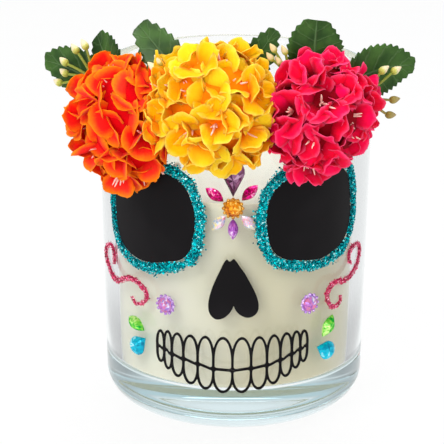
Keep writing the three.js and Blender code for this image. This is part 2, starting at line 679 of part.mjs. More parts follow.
// Flower head: florets over a dome, flat where it faces the wall
function flowerHead(name) {
  const frame = flowerFrame(name);
  const centre = frame.at(0, frame.centreHeight, STANDOFF);
  const basis = new THREE.Matrix4().makeBasis(frame.across, frame.up.clone().negate(), frame.out);
  const sizes = [frame.halfWidth, frame.halfHeight, frame.depth].map((size) => size - FLORET_CUP);
  const domeSteps = quarter([1, 0], [0, 1], 3, false);
  const dome = turned([[0, 0], [1, 0], ...domeSteps], 10)
    .scale(sizes[0] - FLORET_CUP / 2, sizes[1] - FLORET_CUP / 2, sizes[2] - FLORET_CUP / 2);
  const pieces = [dome];
  let index = 0;
  for (const ring of HEAD_RINGS) {
    for (let i = 0; i < ring.count; i += 1) {
      const polar = radians(ring.polar);
      const clock = ((i + 0.5 * (ring.count % 2)) / ring.count) * Math.PI * 2;
      const unit = new THREE.Vector3(Math.sin(polar) * Math.cos(clock),
        Math.sin(polar) * Math.sin(clock), Math.cos(polar));
      const place = unit.clone().multiply(new THREE.Vector3(...sizes));
      pieces.push(facing(floret(radians(FLORET_TURN) * index), unit, place));
      index += 1;
    }
  }
  const reach = 2 * (frame.halfWidth + frame.halfHeight);
  const behind = new THREE.BoxGeometry(reach, reach, reach).translate(0, 0, -reach / 2);
  const head = cut(joined(pieces), [behind]);
  head.applyMatrix4(basis).translate(centre.x, centre.y, centre.z);
  return head;
}

// Block on a neighbour's side of the plane where two heads press on each other
function neighbourBlock(name, neighbour) {
  const own = flowerFrame(name);
  const other = flowerFrame(neighbour);
  const start = own.at(0, own.centreHeight, STANDOFF);
  const end = other.at(0, other.centreHeight, STANDOFF);
  const way = end.clone().sub(start);
  way.z = 0;
  const size = 2 * (own.depth + own.halfHeight + other.halfHeight);
  const middle = start.clone().lerp(end, own.halfWidth / (own.halfWidth + other.halfWidth));
  const heading = Math.atan2(way.y, way.x);
  way.normalize();
  const centre = middle.addScaledVector(way, (size - SEAT_GAP) / 2);
  return new THREE.BoxGeometry(size, size, size).rotateZ(heading).translate(
    centre.x, centre.y, centre.z);
}

// Drop of hot glue between a flower's flat back and the wall
function glueDrop(name) {
  const frame = flowerFrame(name);
  const top = STANDOFF - SEAT_GAP;
  const waist = GLUE_RADIUS * GLUE_WAIST_SHARE;
  const drop = turned([[0, -WALL], [GLUE_RADIUS, -WALL], [GLUE_RADIUS, top / 2], [waist, top],
    [0, top]], 14);
  const seat = frame.at(0, frame.seatHeight, 0);
  facing(drop, frame.out, seat);
  const wall = turned([
    ...outerProfile(SEAT_GAP),
    [RIM_RADIUS + SEAT_GAP, JAR_HEIGHT + OVERRUN],
    [0, JAR_HEIGHT + OVERRUN],
  ], JAR_SEGMENTS);
  return cut(drop, [wall]);
}

// Leaf: stalk and blade along a bent midrib in the flower's plane, with a sawn edge
function leaf({ flower, clock, bend, reach, width, curl }) {
  const frame = flowerFrame(flower);
  const start = GLUE_RADIUS + SEAT_GAP;
  const length = reach - start;
  const rings = [];
  let along = start * Math.cos(radians(clock));
  let rise = start * Math.sin(radians(clock));
  for (let i = 0; i <= LEAF_STATIONS; i += 1) {
    const share = i / LEAF_STATIONS;
    const heading = radians(clock + bend * share);
    if (i > 0) {
      along += (length / LEAF_STATIONS) * Math.cos(heading);
      rise += (length / LEAF_STATIONS) * Math.sin(heading);
    }
    const blade = Math.max((share * length - STALK_LENGTH) / (length - STALK_LENGTH), 0);
    const tooth = blade > 0 && blade < 1 ? SAWTOOTH * (i % 2) : 0;
    const swell = (width / 2 - STALK_WIDTH / 2) * Math.sin(Math.PI * blade ** LEAF_BELLY_SHARE)
      ** LEAF_FULLNESS_SHARE;
    const half = STALK_WIDTH / 2 + Math.max(swell - tooth, 0);
    const layer = LEAF_LAYER + curl * share * share;
    const camber = LEAF_CAMBER * Math.min((2 * half) / width, 1);
    const side = [-Math.sin(heading) * half, Math.cos(heading) * half];
    const bulk = (LEAF_THICKNESS / 2) * mix(1, LEAF_TIP_SHARE, share);
    const at = (across, lift) => frame.at(along + side[0] * across,
      frame.seatHeight + rise + side[1] * across, layer + lift);
    rings.push([at(-1, camber), at(0, bulk), at(1, camber), at(0, -bulk)]);
  }
  return lofted(rings);
}

// Stem of square section along a smooth path
function stem(points, steps) {
  const section = new THREE.Shape(Array.from({ length: 4 }, (_, i) => new THREE.Vector2(
    STEM_RADIUS * Math.cos((i * Math.PI) / 2), STEM_RADIUS * Math.sin((i * Math.PI) / 2))));
  const extrudePath = new THREE.CatmullRomCurve3(points);
  return new THREE.ExtrudeGeometry(section, { steps, bevelEnabled: false, extrudePath });
}

// Pointed bud from its neck to its tip
function bud(neck, tip) {
  const form = turned([
    [0, 0],
    [BUD_RADIUS, BUD_LENGTH * BUD_BELLY_SHARE],
    [BUD_RADIUS * BUD_NECK_SHARE, BUD_LENGTH * BUD_SHOULDER_SHARE],
    [0, BUD_LENGTH],
  ], 5);
  return facing(form, tip.clone().sub(neck).normalize(), neck);
}

// Sprig: a stalk from beside the glue that forks into stems, each with a pointed bud
function sprig({ flower, clock, reach, height, forkShare, budClocks, budShares }) {
  const frame = flowerFrame(flower);
  const place = (way, out, layer) => frame.at(out * Math.cos(radians(way)),
    frame.seatHeight + out * Math.sin(radians(way)), layer);
  const start = place(clock, GLUE_RADIUS + SEAT_GAP + STEM_RADIUS, SPRIG_LAYER);
  const fork = place(clock, reach * forkShare, SPRIG_LAYER);
  const pieces = [stem([start, place(clock, reach * forkShare + STEM_RADIUS, SPRIG_LAYER)], 1)];
  budClocks.forEach((way, i) => {
    const neck = place(way, reach * budShares[i] - BUD_LENGTH, SPRIG_LAYER + height);
    const tip = place(way, reach * budShares[i], SPRIG_LAYER + height);
    const heart = neck.clone().lerp(tip, 0.5);
    pieces.push(stem([fork, fork.clone().lerp(neck, 0.5), neck, heart], 2));
    pieces.push(bud(neck, tip));
  });
  return joined(pieces);
}

const group = new THREE.Group();

function addPiece(name, geometry, material) {
  const mesh = new THREE.Mesh(welded(geometry), material);
  mesh.name = name;
  group.add(mesh);
}

function addCandle() {
  addPiece('glass_jar', glassJar(), finish(COLOURS.glass, 0.05));
  addPiece('wax_fill', waxFill(), finish(COLOURS.wax, 0.55));
  wickPlaces().forEach(([x, y], i) => {
    addPiece(`wick_${i + 1}`, wick().translate(x, y, 0), finish(COLOURS.wick, 0.9));
    addPiece(`wick_tab_${i + 1}`, wickTab().translate(x, y, 0), finish(COLOURS.steel, 0.35, 1));
  });
}

function addFace() {
  addPiece('eye_left', eyeSocket(LEFT_EYE, LEFT_EYE_SHARES), finish(COLOURS.vinyl, 0.6));
  addPiece('eye_right', eyeSocket(RIGHT_EYE, RIGHT_EYE_SHARES), finish(COLOURS.vinyl, 0.6));
  addPiece('nose', nose(), finish(COLOURS.vinyl, 0.6));
  addPiece('teeth', teeth(), finish(COLOURS.vinyl, 0.6));
  addPiece('glitter_ring_left', eyeRing(LEFT_EYE, LEFT_EYE_SHARES), finish(COLOURS.teal, 0.4, 0.6));
  addPiece('glitter_ring_right', eyeRing(RIGHT_EYE, RIGHT_EYE_SHARES), finish(COLOURS.teal, 0.4, 0.6));
  addPiece('glitter_swirl_left', swirl(LEFT_SWIRL, LEFT_SWIRL_SHARES, LEFT_EYE),
    finish(COLOURS.rose, 0.4, 0.6));
  addPiece('glitter_swirl_right', swirl(RIGHT_SWIRL, RIGHT_SWIRL_SHARES, RIGHT_EYE),
    finish(COLOURS.rose, 0.4, 0.6));
}

// Stone of the forehead spray, its inner tip on the rosette's rim, pointing out at an angle
function addSprayStone(name, outline, size, angle, gap, colour) {
  const reach = SPRAY_REACH + gap + size.length / 2;
  const along = sprayMiddle[0] + reach * Math.cos(radians(angle));
  const height = sprayMiddle[1] + (reach * Math.sin(radians(angle))) / faceFit;
  addPiece(name, setOnWall(stone(outline(size)), along, height, angle - 90), finish(colour, 0.1));
}

function addForehead() {
  addPiece('forehead_rosette', setOnWall(rosette(), ...sprayMiddle, 0), finish(COLOURS.gold, 0.2, 0.5));
  addSprayStone('forehead_drop', dropOutline, AMETHYST_DROP, 90, SEAT_GAP, COLOURS.amethyst);
  addSprayStone('forehead_magenta_left', navetteOutline, NAVETTE, 144, SEAT_GAP, COLOURS.magenta);
  addSprayStone('forehead_magenta_right', navetteOutline, NAVETTE, 44, SEAT_GAP, COLOURS.magenta);
  addSprayStone('forehead_clear_left', navetteOutline, CLEAR_NAVETTE, 229, SEAT_GAP, COLOURS.iridescent);
  addSprayStone('forehead_clear_right', navetteOutline, CLEAR_NAVETTE, -46, SEAT_GAP, COLOURS.iridescent);
  addSprayStone('forehead_lavender', navetteOutline, SMALL_NAVETTE, -90, SEAT_GAP, COLOURS.lavender);
}

function addCheek(cheek, form, eye, label) {
  const edge = FACE_SHIFT + cheek.side * (TEETH_WIDTH / 2);
  const place = (out, up) => [edge + cheek.side * out, teethTop + up];
  const innerEdge = swirlMiddle(form, eye)[0] - cheek.side * (form.width / 2);
  const round = innerEdge - cheek.side * (cheek.roundGap + ROSETTE_RADIUS);
  addPiece(`cheek_lilac_${label}`,
    setOnWall(rosette(), round, teethTop + cheek.roundUp, 0), finish(COLOURS.lilac, 0.2, 0.3));
  addPiece(`cheek_green_${label}`, setOnWall(stone(navetteOutline(CHEEK_NAVETTE)),
    ...place(cheek.greenOut, -cheek.greenDown), 90 + cheek.greenTurn), finish(COLOURS.green, 0.1));
  addPiece(`cheek_blue_${label}`, setOnWall(stone(dropOutline(CHEEK_DROP)),
    ...place(cheek.blueOut, -cheek.blueDown), cheek.side * -(90 + cheek.blueTurn)),
  finish(COLOURS.blue, 0.1));
}

function addCrown() {
  const names = Object.keys(FLOWERS);
  names.forEach((name, i) => {
    const beside = [names[i - 1], names[i + 1]].filter(Boolean);
    const head = cut(flowerHead(name), beside.map((other) => neighbourBlock(name, other)));
    addPiece(`flower_${name}`, head, finish(COLOURS[name], 0.85));
    addPiece(`glue_${name}`, glueDrop(name), finish(COLOURS.glue, 0.4));
  });
  for (const [name, form] of Object.entries(LEAVES)) {
    addPiece(name, leaf(form), finish(COLOURS.leaf, 0.6));
  }
  for (const [name, form] of Object.entries(SPRIGS)) {
    addPiece(name, sprig(form), finish(COLOURS.bud, 0.7));
  }
}

addCandle();
addFace();
addForehead();
addCheek(LEFT_CHEEK, LEFT_SWIRL, LEFT_EYE, 'left');
addCheek(RIGHT_CHEEK, RIGHT_SWIRL, RIGHT_EYE, 'right');
addCrown();

export default group;
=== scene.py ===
"""Skull candle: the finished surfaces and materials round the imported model.

A clear tumbler of cream wax is dressed as a sugar skull: vinyl eye sockets, nose and teeth,
glitter glue round the eyes and on the cheeks, flat-backed stones, and a crown of three fabric
flower heads with leaves and bud sprigs. Lengths are in millimetres until a mesh is written,
which turns them into metres. +Z is up, the face looks along -Y, and +X is its viewer's right.
"""

import logging
import math
from dataclasses import dataclass
from enum import Enum

import bpy
import numpy as np
from mathutils import Matrix, Vector


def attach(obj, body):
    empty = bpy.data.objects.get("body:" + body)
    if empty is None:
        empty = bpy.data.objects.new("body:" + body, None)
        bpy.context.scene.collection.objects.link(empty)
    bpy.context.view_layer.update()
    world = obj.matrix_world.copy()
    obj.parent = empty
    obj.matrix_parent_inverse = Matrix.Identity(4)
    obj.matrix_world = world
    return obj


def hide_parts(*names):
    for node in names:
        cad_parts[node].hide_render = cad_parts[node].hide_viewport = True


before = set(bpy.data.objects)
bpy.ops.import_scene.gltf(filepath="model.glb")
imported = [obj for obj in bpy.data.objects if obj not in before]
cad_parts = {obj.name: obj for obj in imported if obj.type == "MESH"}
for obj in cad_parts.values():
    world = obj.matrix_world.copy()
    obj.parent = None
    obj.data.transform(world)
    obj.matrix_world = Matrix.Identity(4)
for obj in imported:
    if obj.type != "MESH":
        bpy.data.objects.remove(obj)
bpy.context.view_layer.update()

LOG = logging.getLogger("skull_candle")
MM = 0.001
BODY = "root"
PHOTO_PIXELS = 444
GOLDEN_ANGLE = 2.39996
# Turns in the glass past which a ray counts as trapped there and is let straight on
TRAPPED_DEPTH = 3.5

Colour = tuple[float, float, float, float]
Stops = tuple[tuple[float, Colour], ...]
Faces = list[np.ndarray]
Mesh = tuple[np.ndarray, Faces]
Material = bpy.types.Material
Piece = bpy.types.Object
Node = bpy.types.Node
Socket = bpy.types.NodeSocket
Value = Socket | float
Tone = Socket | Colour

WHITE: Colour = (1.0, 1.0, 1.0, 1.0)


def srgb(red: float, green: float, blue: float) -> Colour:
    """Linear colour of a screen colour.

    Args:
        red: Red from 0 to 255.
        green: Green from 0 to 255.
        blue: Blue from 0 to 255.

    Returns:
        Linear red, green and blue, and an alpha of 1.
    """
    share = np.array([red, green, blue]) / 255.0
    linear = np.where(share <= 0.04045, share / 12.92, ((share + 0.055) / 1.055) ** 2.4)
    return (float(linear[0]), float(linear[1]), float(linear[2]), 1.0)


def smooth(low: float, high: float, value: np.ndarray) -> np.ndarray:
    """Smooth step: 0 below low, 1 above high, 3t^2 - 2t^3 between."""
    t = np.clip((value - low) / (high - low), 0.0, 1.0)
    return t * t * (3.0 - 2.0 * t)


def shades(*stops: tuple[float, tuple[float, float, float]]) -> Stops:
    """Stops of a colour ramp, from positions and screen colours."""
    return tuple((position, srgb(*colour)) for position, colour in stops)


def unit(vectors: np.ndarray) -> np.ndarray:
    """Vectors of length one along the last axis."""
    return vectors / np.maximum(np.linalg.norm(vectors, axis=-1, keepdims=True), 1e-12)


def beside(*parts: np.ndarray | float) -> np.ndarray:
    """Arrays or values, spread to one shape and set side by side along a new last axis."""
    return np.stack(np.broadcast_arrays(*parts), axis=-1)


def turns(count: int) -> np.ndarray:
    """Equal steps round a full turn, in radians, from zero."""
    return np.arange(count) / count * 2 * np.pi


def eased(values: np.ndarray, stop: float, soft: float) -> np.ndarray:
    """Keeps values above a stop: below stop + soft they near it as an exponential."""
    near = stop + soft * np.exp((values - stop - soft) / soft)
    return np.where(values < stop + soft, near, values)


def travelled(values: np.ndarray) -> np.ndarray:
    """Running integral of each row over 0 to 1, by trapezia."""
    steps = np.cumsum((values[:, 1:] + values[:, :-1]) / 2, axis=1) / (values.shape[1] - 1)
    return np.concatenate([np.zeros((len(values), 1)), steps], axis=1)


def looked_up(table: np.ndarray, share: np.ndarray) -> np.ndarray:
    """Each row's values at shares of its length, in proportion between two entries."""
    last = table.shape[1] - 1
    spot = np.clip(share * last, 0, last - 0.001)
    base = spot.astype(int)
    part = spot - base
    low, high = (np.take_along_axis(table, base.reshape(len(table), -1) + step, 1).reshape(
        base.shape) for step in (0, 1))
    return low * (1 - part) + high * part


class Side(Enum):
    """Side of the face as its viewer sees it."""

    LEFT = -1
    RIGHT = 1


class StoneCut(Enum):
    """Outline that a flat-backed stone is cut to."""

    NAVETTE = "pointed oval"
    DROP = "teardrop"
    ROUND = "round"


# Meshes from arrays


def signed_volume(points: np.ndarray, faces: Faces) -> float:
    """Six times the volume inside the faces, by tetrahedra from the origin to each triangle."""
    total = 0.0
    for group in faces:
        first = points[group[:, 0]]
        for k in range(1, group.shape[1] - 1):
            crossed = np.cross(points[group[:, k]], points[group[:, k + 1]])
            total += float(np.einsum("ij,ij->", first, crossed))
    return total


def outwards(points: np.ndarray, faces: Faces) -> Faces:
    """The faces, turned round if they look into the volume that they close."""
    return [group[:, ::-1] for group in faces] if signed_volume(points, faces) < 0.0 else faces


def write_piece(name: str, points: np.ndarray, faces: Faces, material: Material,
                smooth_faces: bool = True, tags: dict[str, np.ndarray] | None = None) -> Piece:
    """Writes arrays into a new object, with its faces turned outwards.

    Args:
        name: Object name.
        points: Vertex places, shape (n, 3), in millimetres.
        faces: Vertex numbers, one array for each face size.
        material: Finish of the whole piece.
        smooth_faces: Whether the faces are shaded smooth.
        tags: Point attributes by name, shape (n, 3), for the finish to read.

    Returns:
        The object, linked to the scene at the origin.
    """
    points = np.asarray(points, float)
    faces = outwards(points, faces)
    sizes = np.concatenate([np.full(len(group), group.shape[1]) for group in faces])
    corners = np.concatenate([group.ravel() for group in faces])
    starts = np.concatenate([[0], np.cumsum(sizes)[:-1]])
    mesh = bpy.data.meshes.new(name)
    mesh.vertices.add(len(points))
    mesh.vertices.foreach_set("co", (points * MM).astype(np.float32).ravel())
    mesh.loops.add(len(corners))
    mesh.loops.foreach_set("vertex_index", corners.astype(np.int32))
    mesh.polygons.add(len(sizes))
    mesh.polygons.foreach_set("loop_start", starts.astype(np.int32))
    mesh.update(calc_edges=True)
    mesh.polygons.foreach_set("use_smooth", np.full(len(sizes), smooth_faces))
    for tag, values in (tags or {}).items():
        layer = mesh.attributes.new(tag, "FLOAT_VECTOR", "POINT")
        layer.data.foreach_set("vector", np.asarray(values, np.float32).ravel())
    mesh.materials.append(material)
    piece = bpy.data.objects.new(name, mesh)
    bpy.context.scene.collection.objects.link(piece)
    return piece


def read(items: bpy.types.bpy_prop_collection, name: str, size: int = 1,
         kind: type = float) -> np.ndarray:
    """One property of all items of a mesh, in a flat array."""
    values = np.zeros(len(items) * size, kind)
    items.foreach_get(name, values)
    return values


def second_finish(piece: Piece, material: Material, start: int) -> None:
    """Gives a piece's faces from a number on a second material."""
    piece.data.materials.append(material)
    slots = (np.arange(len(piece.data.polygons)) >= start).astype(np.int32)
    piece.data.polygons.foreach_set("material_index", slots)


def fit(piece: Piece, slot: str, *nodes: str) -> None:
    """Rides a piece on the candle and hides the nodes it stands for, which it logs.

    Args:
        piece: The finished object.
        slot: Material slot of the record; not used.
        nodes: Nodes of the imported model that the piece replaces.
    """
    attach(piece, BODY)
    if nodes:
        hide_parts(*nodes)
    LOG.info("%s: %d faces, for %s", piece.name, len(piece.data.polygons),
             ", ".join(nodes) or "trim")


def grid_quads(rows: int, columns: int, wrap_rows: bool = False,
               wrap_columns: bool = False) -> np.ndarray:
    """Quads of a grid whose vertices are numbered row by row.

    Args:
        rows: Count of rows.
        columns: Count of vertices in a row.
        wrap_rows: Whether the last row joins the first.
        wrap_columns: Whether each row closes on itself.

    Returns:
        Vertex numbers, shape (quads, 4).
    """
    i = np.arange(rows if wrap_rows else rows - 1)[:, None]
    j = np.arange(columns if wrap_columns else columns - 1)[None, :]
    here, after = i * columns, ((i + 1) % rows) * columns
    across = (j + 1) % columns
    return beside(here + j, here + across, after + across, after + j).reshape(-1, 4)


def end_caps(rings: int, around: int) -> Faces:
    """Fans that close the first ring and the last to the two vertices numbered after them."""
    total, last = rings * around, (rings - 1) * around
    j = np.arange(around)
    k = (j + 1) % around
    return [beside(total, k, j), beside(total + 1, last + j, last + k)]


def revolve(profile: np.ndarray, segments: int) -> Mesh:
    """Surface of revolution about Z: each [radius, height] goes round as (r cos a, r sin a, h).

    Args:
        profile: Points from one pole on the axis to the other, or a closed loop off the axis.
        segments: Steps round the axis.

    Returns:
        Vertex places and faces, with one vertex at each pole.
    """
    poles = profile[0, 0] < 1e-9
    ring = profile[1:-1] if poles else profile
    angle = turns(segments)
    points = beside(ring[:, :1] * np.cos(angle), ring[:, :1] * np.sin(angle),
                    ring[:, 1:]).reshape(-1, 3)
    faces = [grid_quads(len(ring), segments, not poles, True)]
    if poles:
        points = np.vstack([points, [0.0, 0.0, profile[0, 1]], [0.0, 0.0, profile[-1, 1]]])
        faces += end_caps(len(ring), segments)
    return points, faces


def loft(rings: np.ndarray, loop: bool = False) -> Mesh:
    """Closed skin over rings of equal point counts, capped at the middle of each end ring.

    Args:
        rings: Places, shape (rings, points, 3).
        loop: Whether the rings run round into a loop, which then has no caps.

    Returns:
        Vertex places and faces.
    """
    count, around = rings.shape[:2]
    points = rings.reshape(-1, 3)
    faces = [grid_quads(count, around, loop, True)]
    if not loop:
        points = np.vstack([points, rings[0].mean(axis=0), rings[-1].mean(axis=0)])
        faces += end_caps(count, around)
    return points, faces


def shells(sheets: np.ndarray, thickness: float) -> Mesh:
    """Gives each sheet a thickness, as a closed shell.

    Each point moves half the thickness along the sheet's own normal, the crossed differences
    of its neighbours along and across, and the two skins are joined round their edge.

    Args:
        sheets: Places, shape (sheets, along, across, 3).
        thickness: Distance between the two skins.

    Returns:
        Vertex places, in the order front then back of each sheet, and faces.
    """
    count, along, across = sheets.shape[:3]
    normal = unit(np.cross(np.gradient(sheets, axis=1), np.gradient(sheets, axis=2)))
    skins = np.stack([sheets + normal * thickness / 2, sheets - normal * thickness / 2], axis=1)
    flat = grid_quads(along, across)
    skin = along * across
    grid = np.arange(skin).reshape(along, across)
    edge = np.concatenate([grid[0, :-1], grid[:-1, -1], grid[-1, :0:-1], grid[:0:-1, 0]])
    after = np.roll(edge, -1)
    wall = beside(after, edge, edge + skin, after + skin)
    one = np.concatenate([flat, flat[:, ::-1] + skin, wall])
    offset = (np.arange(count) * 2 * skin)[:, None, None]
    return skins.reshape(-1, 3), [(one[None] + offset).reshape(-1, 4)]


def merged(parts: list[Mesh]) -> Mesh:
    """One mesh of several, with the vertex numbers of each moved on."""
    points, faces, start = [], [], 0
    for places, groups in parts:
        points.append(places)
        faces.extend(group + start for group in outwards(places, groups))
        start += len(places)
    return np.concatenate(points), faces


def smooth_curve(points: np.ndarray, closed: bool, count: int, between: int = 24) -> np.ndarray:
    """Centripetal Catmull-Rom curve through points, at equal steps along its length.

    Args:
        points: Places that the curve goes through, shape (n, 2) or (n, 3).
        closed: Whether it runs round into a loop.
        count: Points wanted. A loop leaves out the repeated last one.
        between: Steps from each point to the next, before the curve is measured.

    Returns:
        Places, shape (count, 2) or (count, 3).
    """
    points = np.asarray(points, float)
    if closed:
        padded = np.vstack([points[-1], points, points[:2]])
    else:
        padded = np.vstack([2 * points[0] - points[1], points, 2 * points[-1] - points[-2]])
    p0, p1, p2, p3 = padded[:-3], padded[1:-2], padded[2:-1], padded[3:]
    steps = [np.sqrt(np.linalg.norm(b - a, axis=1))[:, None, None]
             for a, b in ((p0, p1), (p1, p2), (p2, p3))]
    t0 = np.zeros_like(steps[0])
    t1 = t0 + steps[0]
    t2 = t1 + steps[1]
    t3 = t2 + steps[2]
    t = t1 + steps[1] * (np.arange(between) / between)[None, :, None]
    q0, q1, q2, q3 = (p[:, None, :] for p in (p0, p1, p2, p3))
    a1 = ((t1 - t) * q0 + (t - t0) * q1) / (t1 - t0)
    a2 = ((t2 - t) * q1 + (t - t1) * q2) / (t2 - t1)
    a3 = ((t3 - t) * q2 + (t - t2) * q3) / (t3 - t2)
    b1 = ((t2 - t) * a1 + (t - t0) * a2) / (t2 - t0)
    b2 = ((t3 - t) * a2 + (t - t1) * a3) / (t3 - t1)
    curve = (((t2 - t) * b1 + (t - t1) * b2) / (t2 - t1)).reshape(-1, points.shape[1])
    curve = np.vstack([curve, points[0] if closed else points[-1]])
    length = np.concatenate([[0.0], np.cumsum(np.linalg.norm(np.diff(curve, axis=0), axis=1))])
    wanted = np.linspace(0.0, length[-1], count, endpoint=not closed)
    return beside(*(np.interp(wanted, length, axis) for axis in curve.T))


def tube(path: np.ndarray, radii: np.ndarray, sides: int) -> Mesh:
    """Round section carried along a path, with its ends closed.

    The section's first axis is square to the tangent and to a fixed side direction, and its
    second axis is square to both.

    Args:
        path: Places along the middle, shape (n, 3).
        radii: Radius at each place.
        sides: Sides of the section.

    Returns:
        Vertex places and faces.
    """
    tangent = unit(np.gradient(path, axis=0))
    chord = unit(path[-1] - path[0])
    aid = np.eye(3)[int(np.argmin(np.abs(chord)))]
    first = unit(np.cross(tangent, aid))
    second = np.cross(tangent, first)
    angle = turns(sides)
    rings = (path[:, None] + np.cos(angle)[None, :, None] * first[:, None] * radii[:, None, None]
             + np.sin(angle)[None, :, None] * second[:, None] * radii[:, None, None])
    return loft(rings)


# Finishes


class Shader:
    """Node tree of one material or world, built by short calls."""

    def __init__(self, name: str, world: bool = False) -> None:
        """Starts an empty tree.

        Args:
            name: Name of the material or world.
            world: Whether it is the world's tree.
        """
        self.owner = (bpy.data.worlds if world else bpy.data.materials).new(name)
        self.owner.use_nodes = True
        self.tree = self.owner.node_tree
        self.tree.nodes.clear()
        self.output = self.add("OutputWorld" if world else "OutputMaterial")

    def add(self, kind: str, inputs: dict[str | int, Value | Tone] | None = None,
            **settings: str) -> Node:
        """Adds a node.

        Args:
            kind: Node type, without the ShaderNode that it starts with.
            inputs: Value, or socket to link from, for each input by name or number.
            settings: Properties of the node.

        Returns:
            The node.
        """
        node = self.tree.nodes.new(f"ShaderNode{kind}")
        for key, value in settings.items():
            setattr(node, key, value)
        for key, value in (inputs or {}).items():
            if isinstance(value, Socket):
                self.tree.links.new(value, node.inputs[key])
            else:
                node.inputs[key].default_value = value
        return node

    def place(self) -> Socket:
        """Object coordinates, in metres."""
        return self.add("TexCoord").outputs["Object"]

    def tag(self, name: str) -> list[Socket]:
        """The three numbers of a point attribute."""
        return self.split(self.add("Attribute", attribute_name=name).outputs["Vector"])

    def ray(self, reading: str) -> Socket:
        """What kind of ray looks at the surface, or how often it has turned."""
        return self.add("LightPath").outputs[reading]

    def seen(self) -> Socket:
        """One for rays that show the surface: straight, through glass or off a gloss."""
        return self.most(*(self.ray(f"Is {kind} Ray")
                           for kind in ("Camera", "Transmission", "Glossy")))

    def trapped(self) -> Socket:
        """One for rays that have turned too often in the glass to be followed."""
        return self.maths("GREATER_THAN", self.ray("Ray Depth"), TRAPPED_DEPTH)

    def split(self, vector: Socket) -> list[Socket]:
        """X, Y and Z of a vector."""
        return [*self.add("SeparateXYZ", {0: vector}).outputs]

    def join(self, x: Value, y: Value, z: Value = 0.0) -> Socket:
        """Vector of three numbers."""
        return self.add("CombineXYZ", {0: x, 1: y, 2: z}).outputs[0]

    def length(self, vector: Socket) -> Socket:
        """Length of a vector."""
        return self.add("VectorMath", {0: vector}, operation="LENGTH").outputs["Value"]

    def maths(self, operation: str, a: Value, b: Value = 0.0, c: Value = 0.0) -> Socket:
        """Result of a Math node on up to three numbers."""
        return self.add("Math", {0: a, 1: b, 2: c}, operation=operation).outputs[0]

    def times(self, a: Value, b: Value) -> Socket:
        """Product of two numbers."""
        return self.maths("MULTIPLY", a, b)

    def times_plus(self, a: Value, b: Value, c: Value) -> Socket:
        """Product of the first two numbers, plus the third."""
        return self.maths("MULTIPLY_ADD", a, b, c)

    def most(self, first: Value, *others: Value) -> Socket:
        """Greatest of several numbers."""
        for other in others:
            first = self.maths("MAXIMUM", first, other)
        return first

    def span(self, value: Value, low: float, high: float, to_low: float = 0.0,
             to_high: float = 1.0) -> Socket:
        """Value carried smoothly from one range to another, and held at its ends."""
        return self.add("MapRange", {0: value, 1: low, 2: high, 3: to_low, 4: to_high},
                        interpolation_type="SMOOTHSTEP").outputs[0]

    def noise(self, vector: Socket, scale: float, detail: float = 2.0) -> Socket:
        """Noise value round a half."""
        return self.add("TexNoise", {"Vector": vector, "Scale": scale, "Detail": detail,
                                     "Roughness": 0.5}).outputs[0]

    def weave(self, warp: Socket, weft: Socket, threads: float) -> Socket:
        """Height of a plain weave: a sine along the warp times a sine along the weft."""
        return self.times(*(self.maths("SINE", self.times(run, threads)) for run in (warp, weft)))

    def blend(self, factor: Value, first: Tone, second: Tone) -> Socket:
        """Colour between two colours."""
        return self.add("Mix", {0: factor, 6: first, 7: second}, data_type="RGBA").outputs[2]

    def mottle(self, cloud: Socket, first: Tone, second: Tone) -> Socket:
        """Colour that drifts from one to another with a noise."""
        return self.blend(self.span(cloud, 0.3, 0.7), first, second)

    def ramp(self, value: Value, stops: Stops) -> Socket:
        """Colour ramp through stops of (position, colour)."""
        node = self.add("ValToRGB", {0: value})
        elements = node.color_ramp.elements
        while len(elements) < len(stops):
            elements.new(0.5)
        for element, (position, colour) in zip(elements, stops):
            element.position, element.color = position, colour
        return node.outputs[0]

    def bump(self, height: Value, depth: float, strength: float,
             normal: Socket | None = None) -> Socket:
        """Bumped normal from a height between 0 and 1, depth in millimetres."""
        inputs = {"Height": height, "Distance": depth * MM, "Strength": strength}
        if normal is not None:
            inputs["Normal"] = normal
        return self.add("Bump", inputs).outputs[0]

    def end(self, node: Node, output: str = "Surface") -> None:
        """Ends the tree in a shader."""
        self.tree.links.new(node.outputs[0], self.output.inputs[output])

    def end_between(self, share: Value, first: Node, second: Node) -> None:
        """Ends the tree in a mix of two shaders."""
        self.end(self.add("MixShader", {0: share, 1: first.outputs[0], 2: second.outputs[0]}))

    def finish(self, **inputs: Value | Tone) -> Material:
        """Ends the tree in a Principled shader.

        Args:
            inputs: Values or sockets by input name, with _ for each space.

        Returns:
            The material.
        """
        self.end(self.add("BsdfPrincipled", {
            key.replace("_", " "): value for key, value in inputs.items()}))
        return self.owner


@dataclass(frozen=True)
class GlassFinish:
    """Clear soda-lime glass, faintly blue-green in its depth."""

    name: str = "tumbler_glass"
    clear: Colour = (0.97, 0.98, 0.98, 1.0)
    depth_tint: Colour = (0.62, 0.80, 0.84, 1.0)
    density: float = 9.0

    def material(self) -> Material:
        """Refracting glass that lets lamp light, soft light and trapped rays straight through."""
        shader = Shader(self.name)
        glass = shader.add("BsdfPrincipled", {"Base Color": WHITE, "Roughness": 0.0, "IOR": 1.5,
                                              "Transmission Weight": 1.0})
        clear = shader.add("BsdfTransparent", {"Color": self.clear})
        straight = shader.most(shader.ray("Is Shadow Ray"), shader.ray("Is Diffuse Ray"),
                               shader.trapped())
        shader.end_between(straight, glass, clear)
        shader.end(shader.add("VolumeAbsorption", {"Color": self.depth_tint,
                                                   "Density": self.density}), "Volume")
        return shader.owner


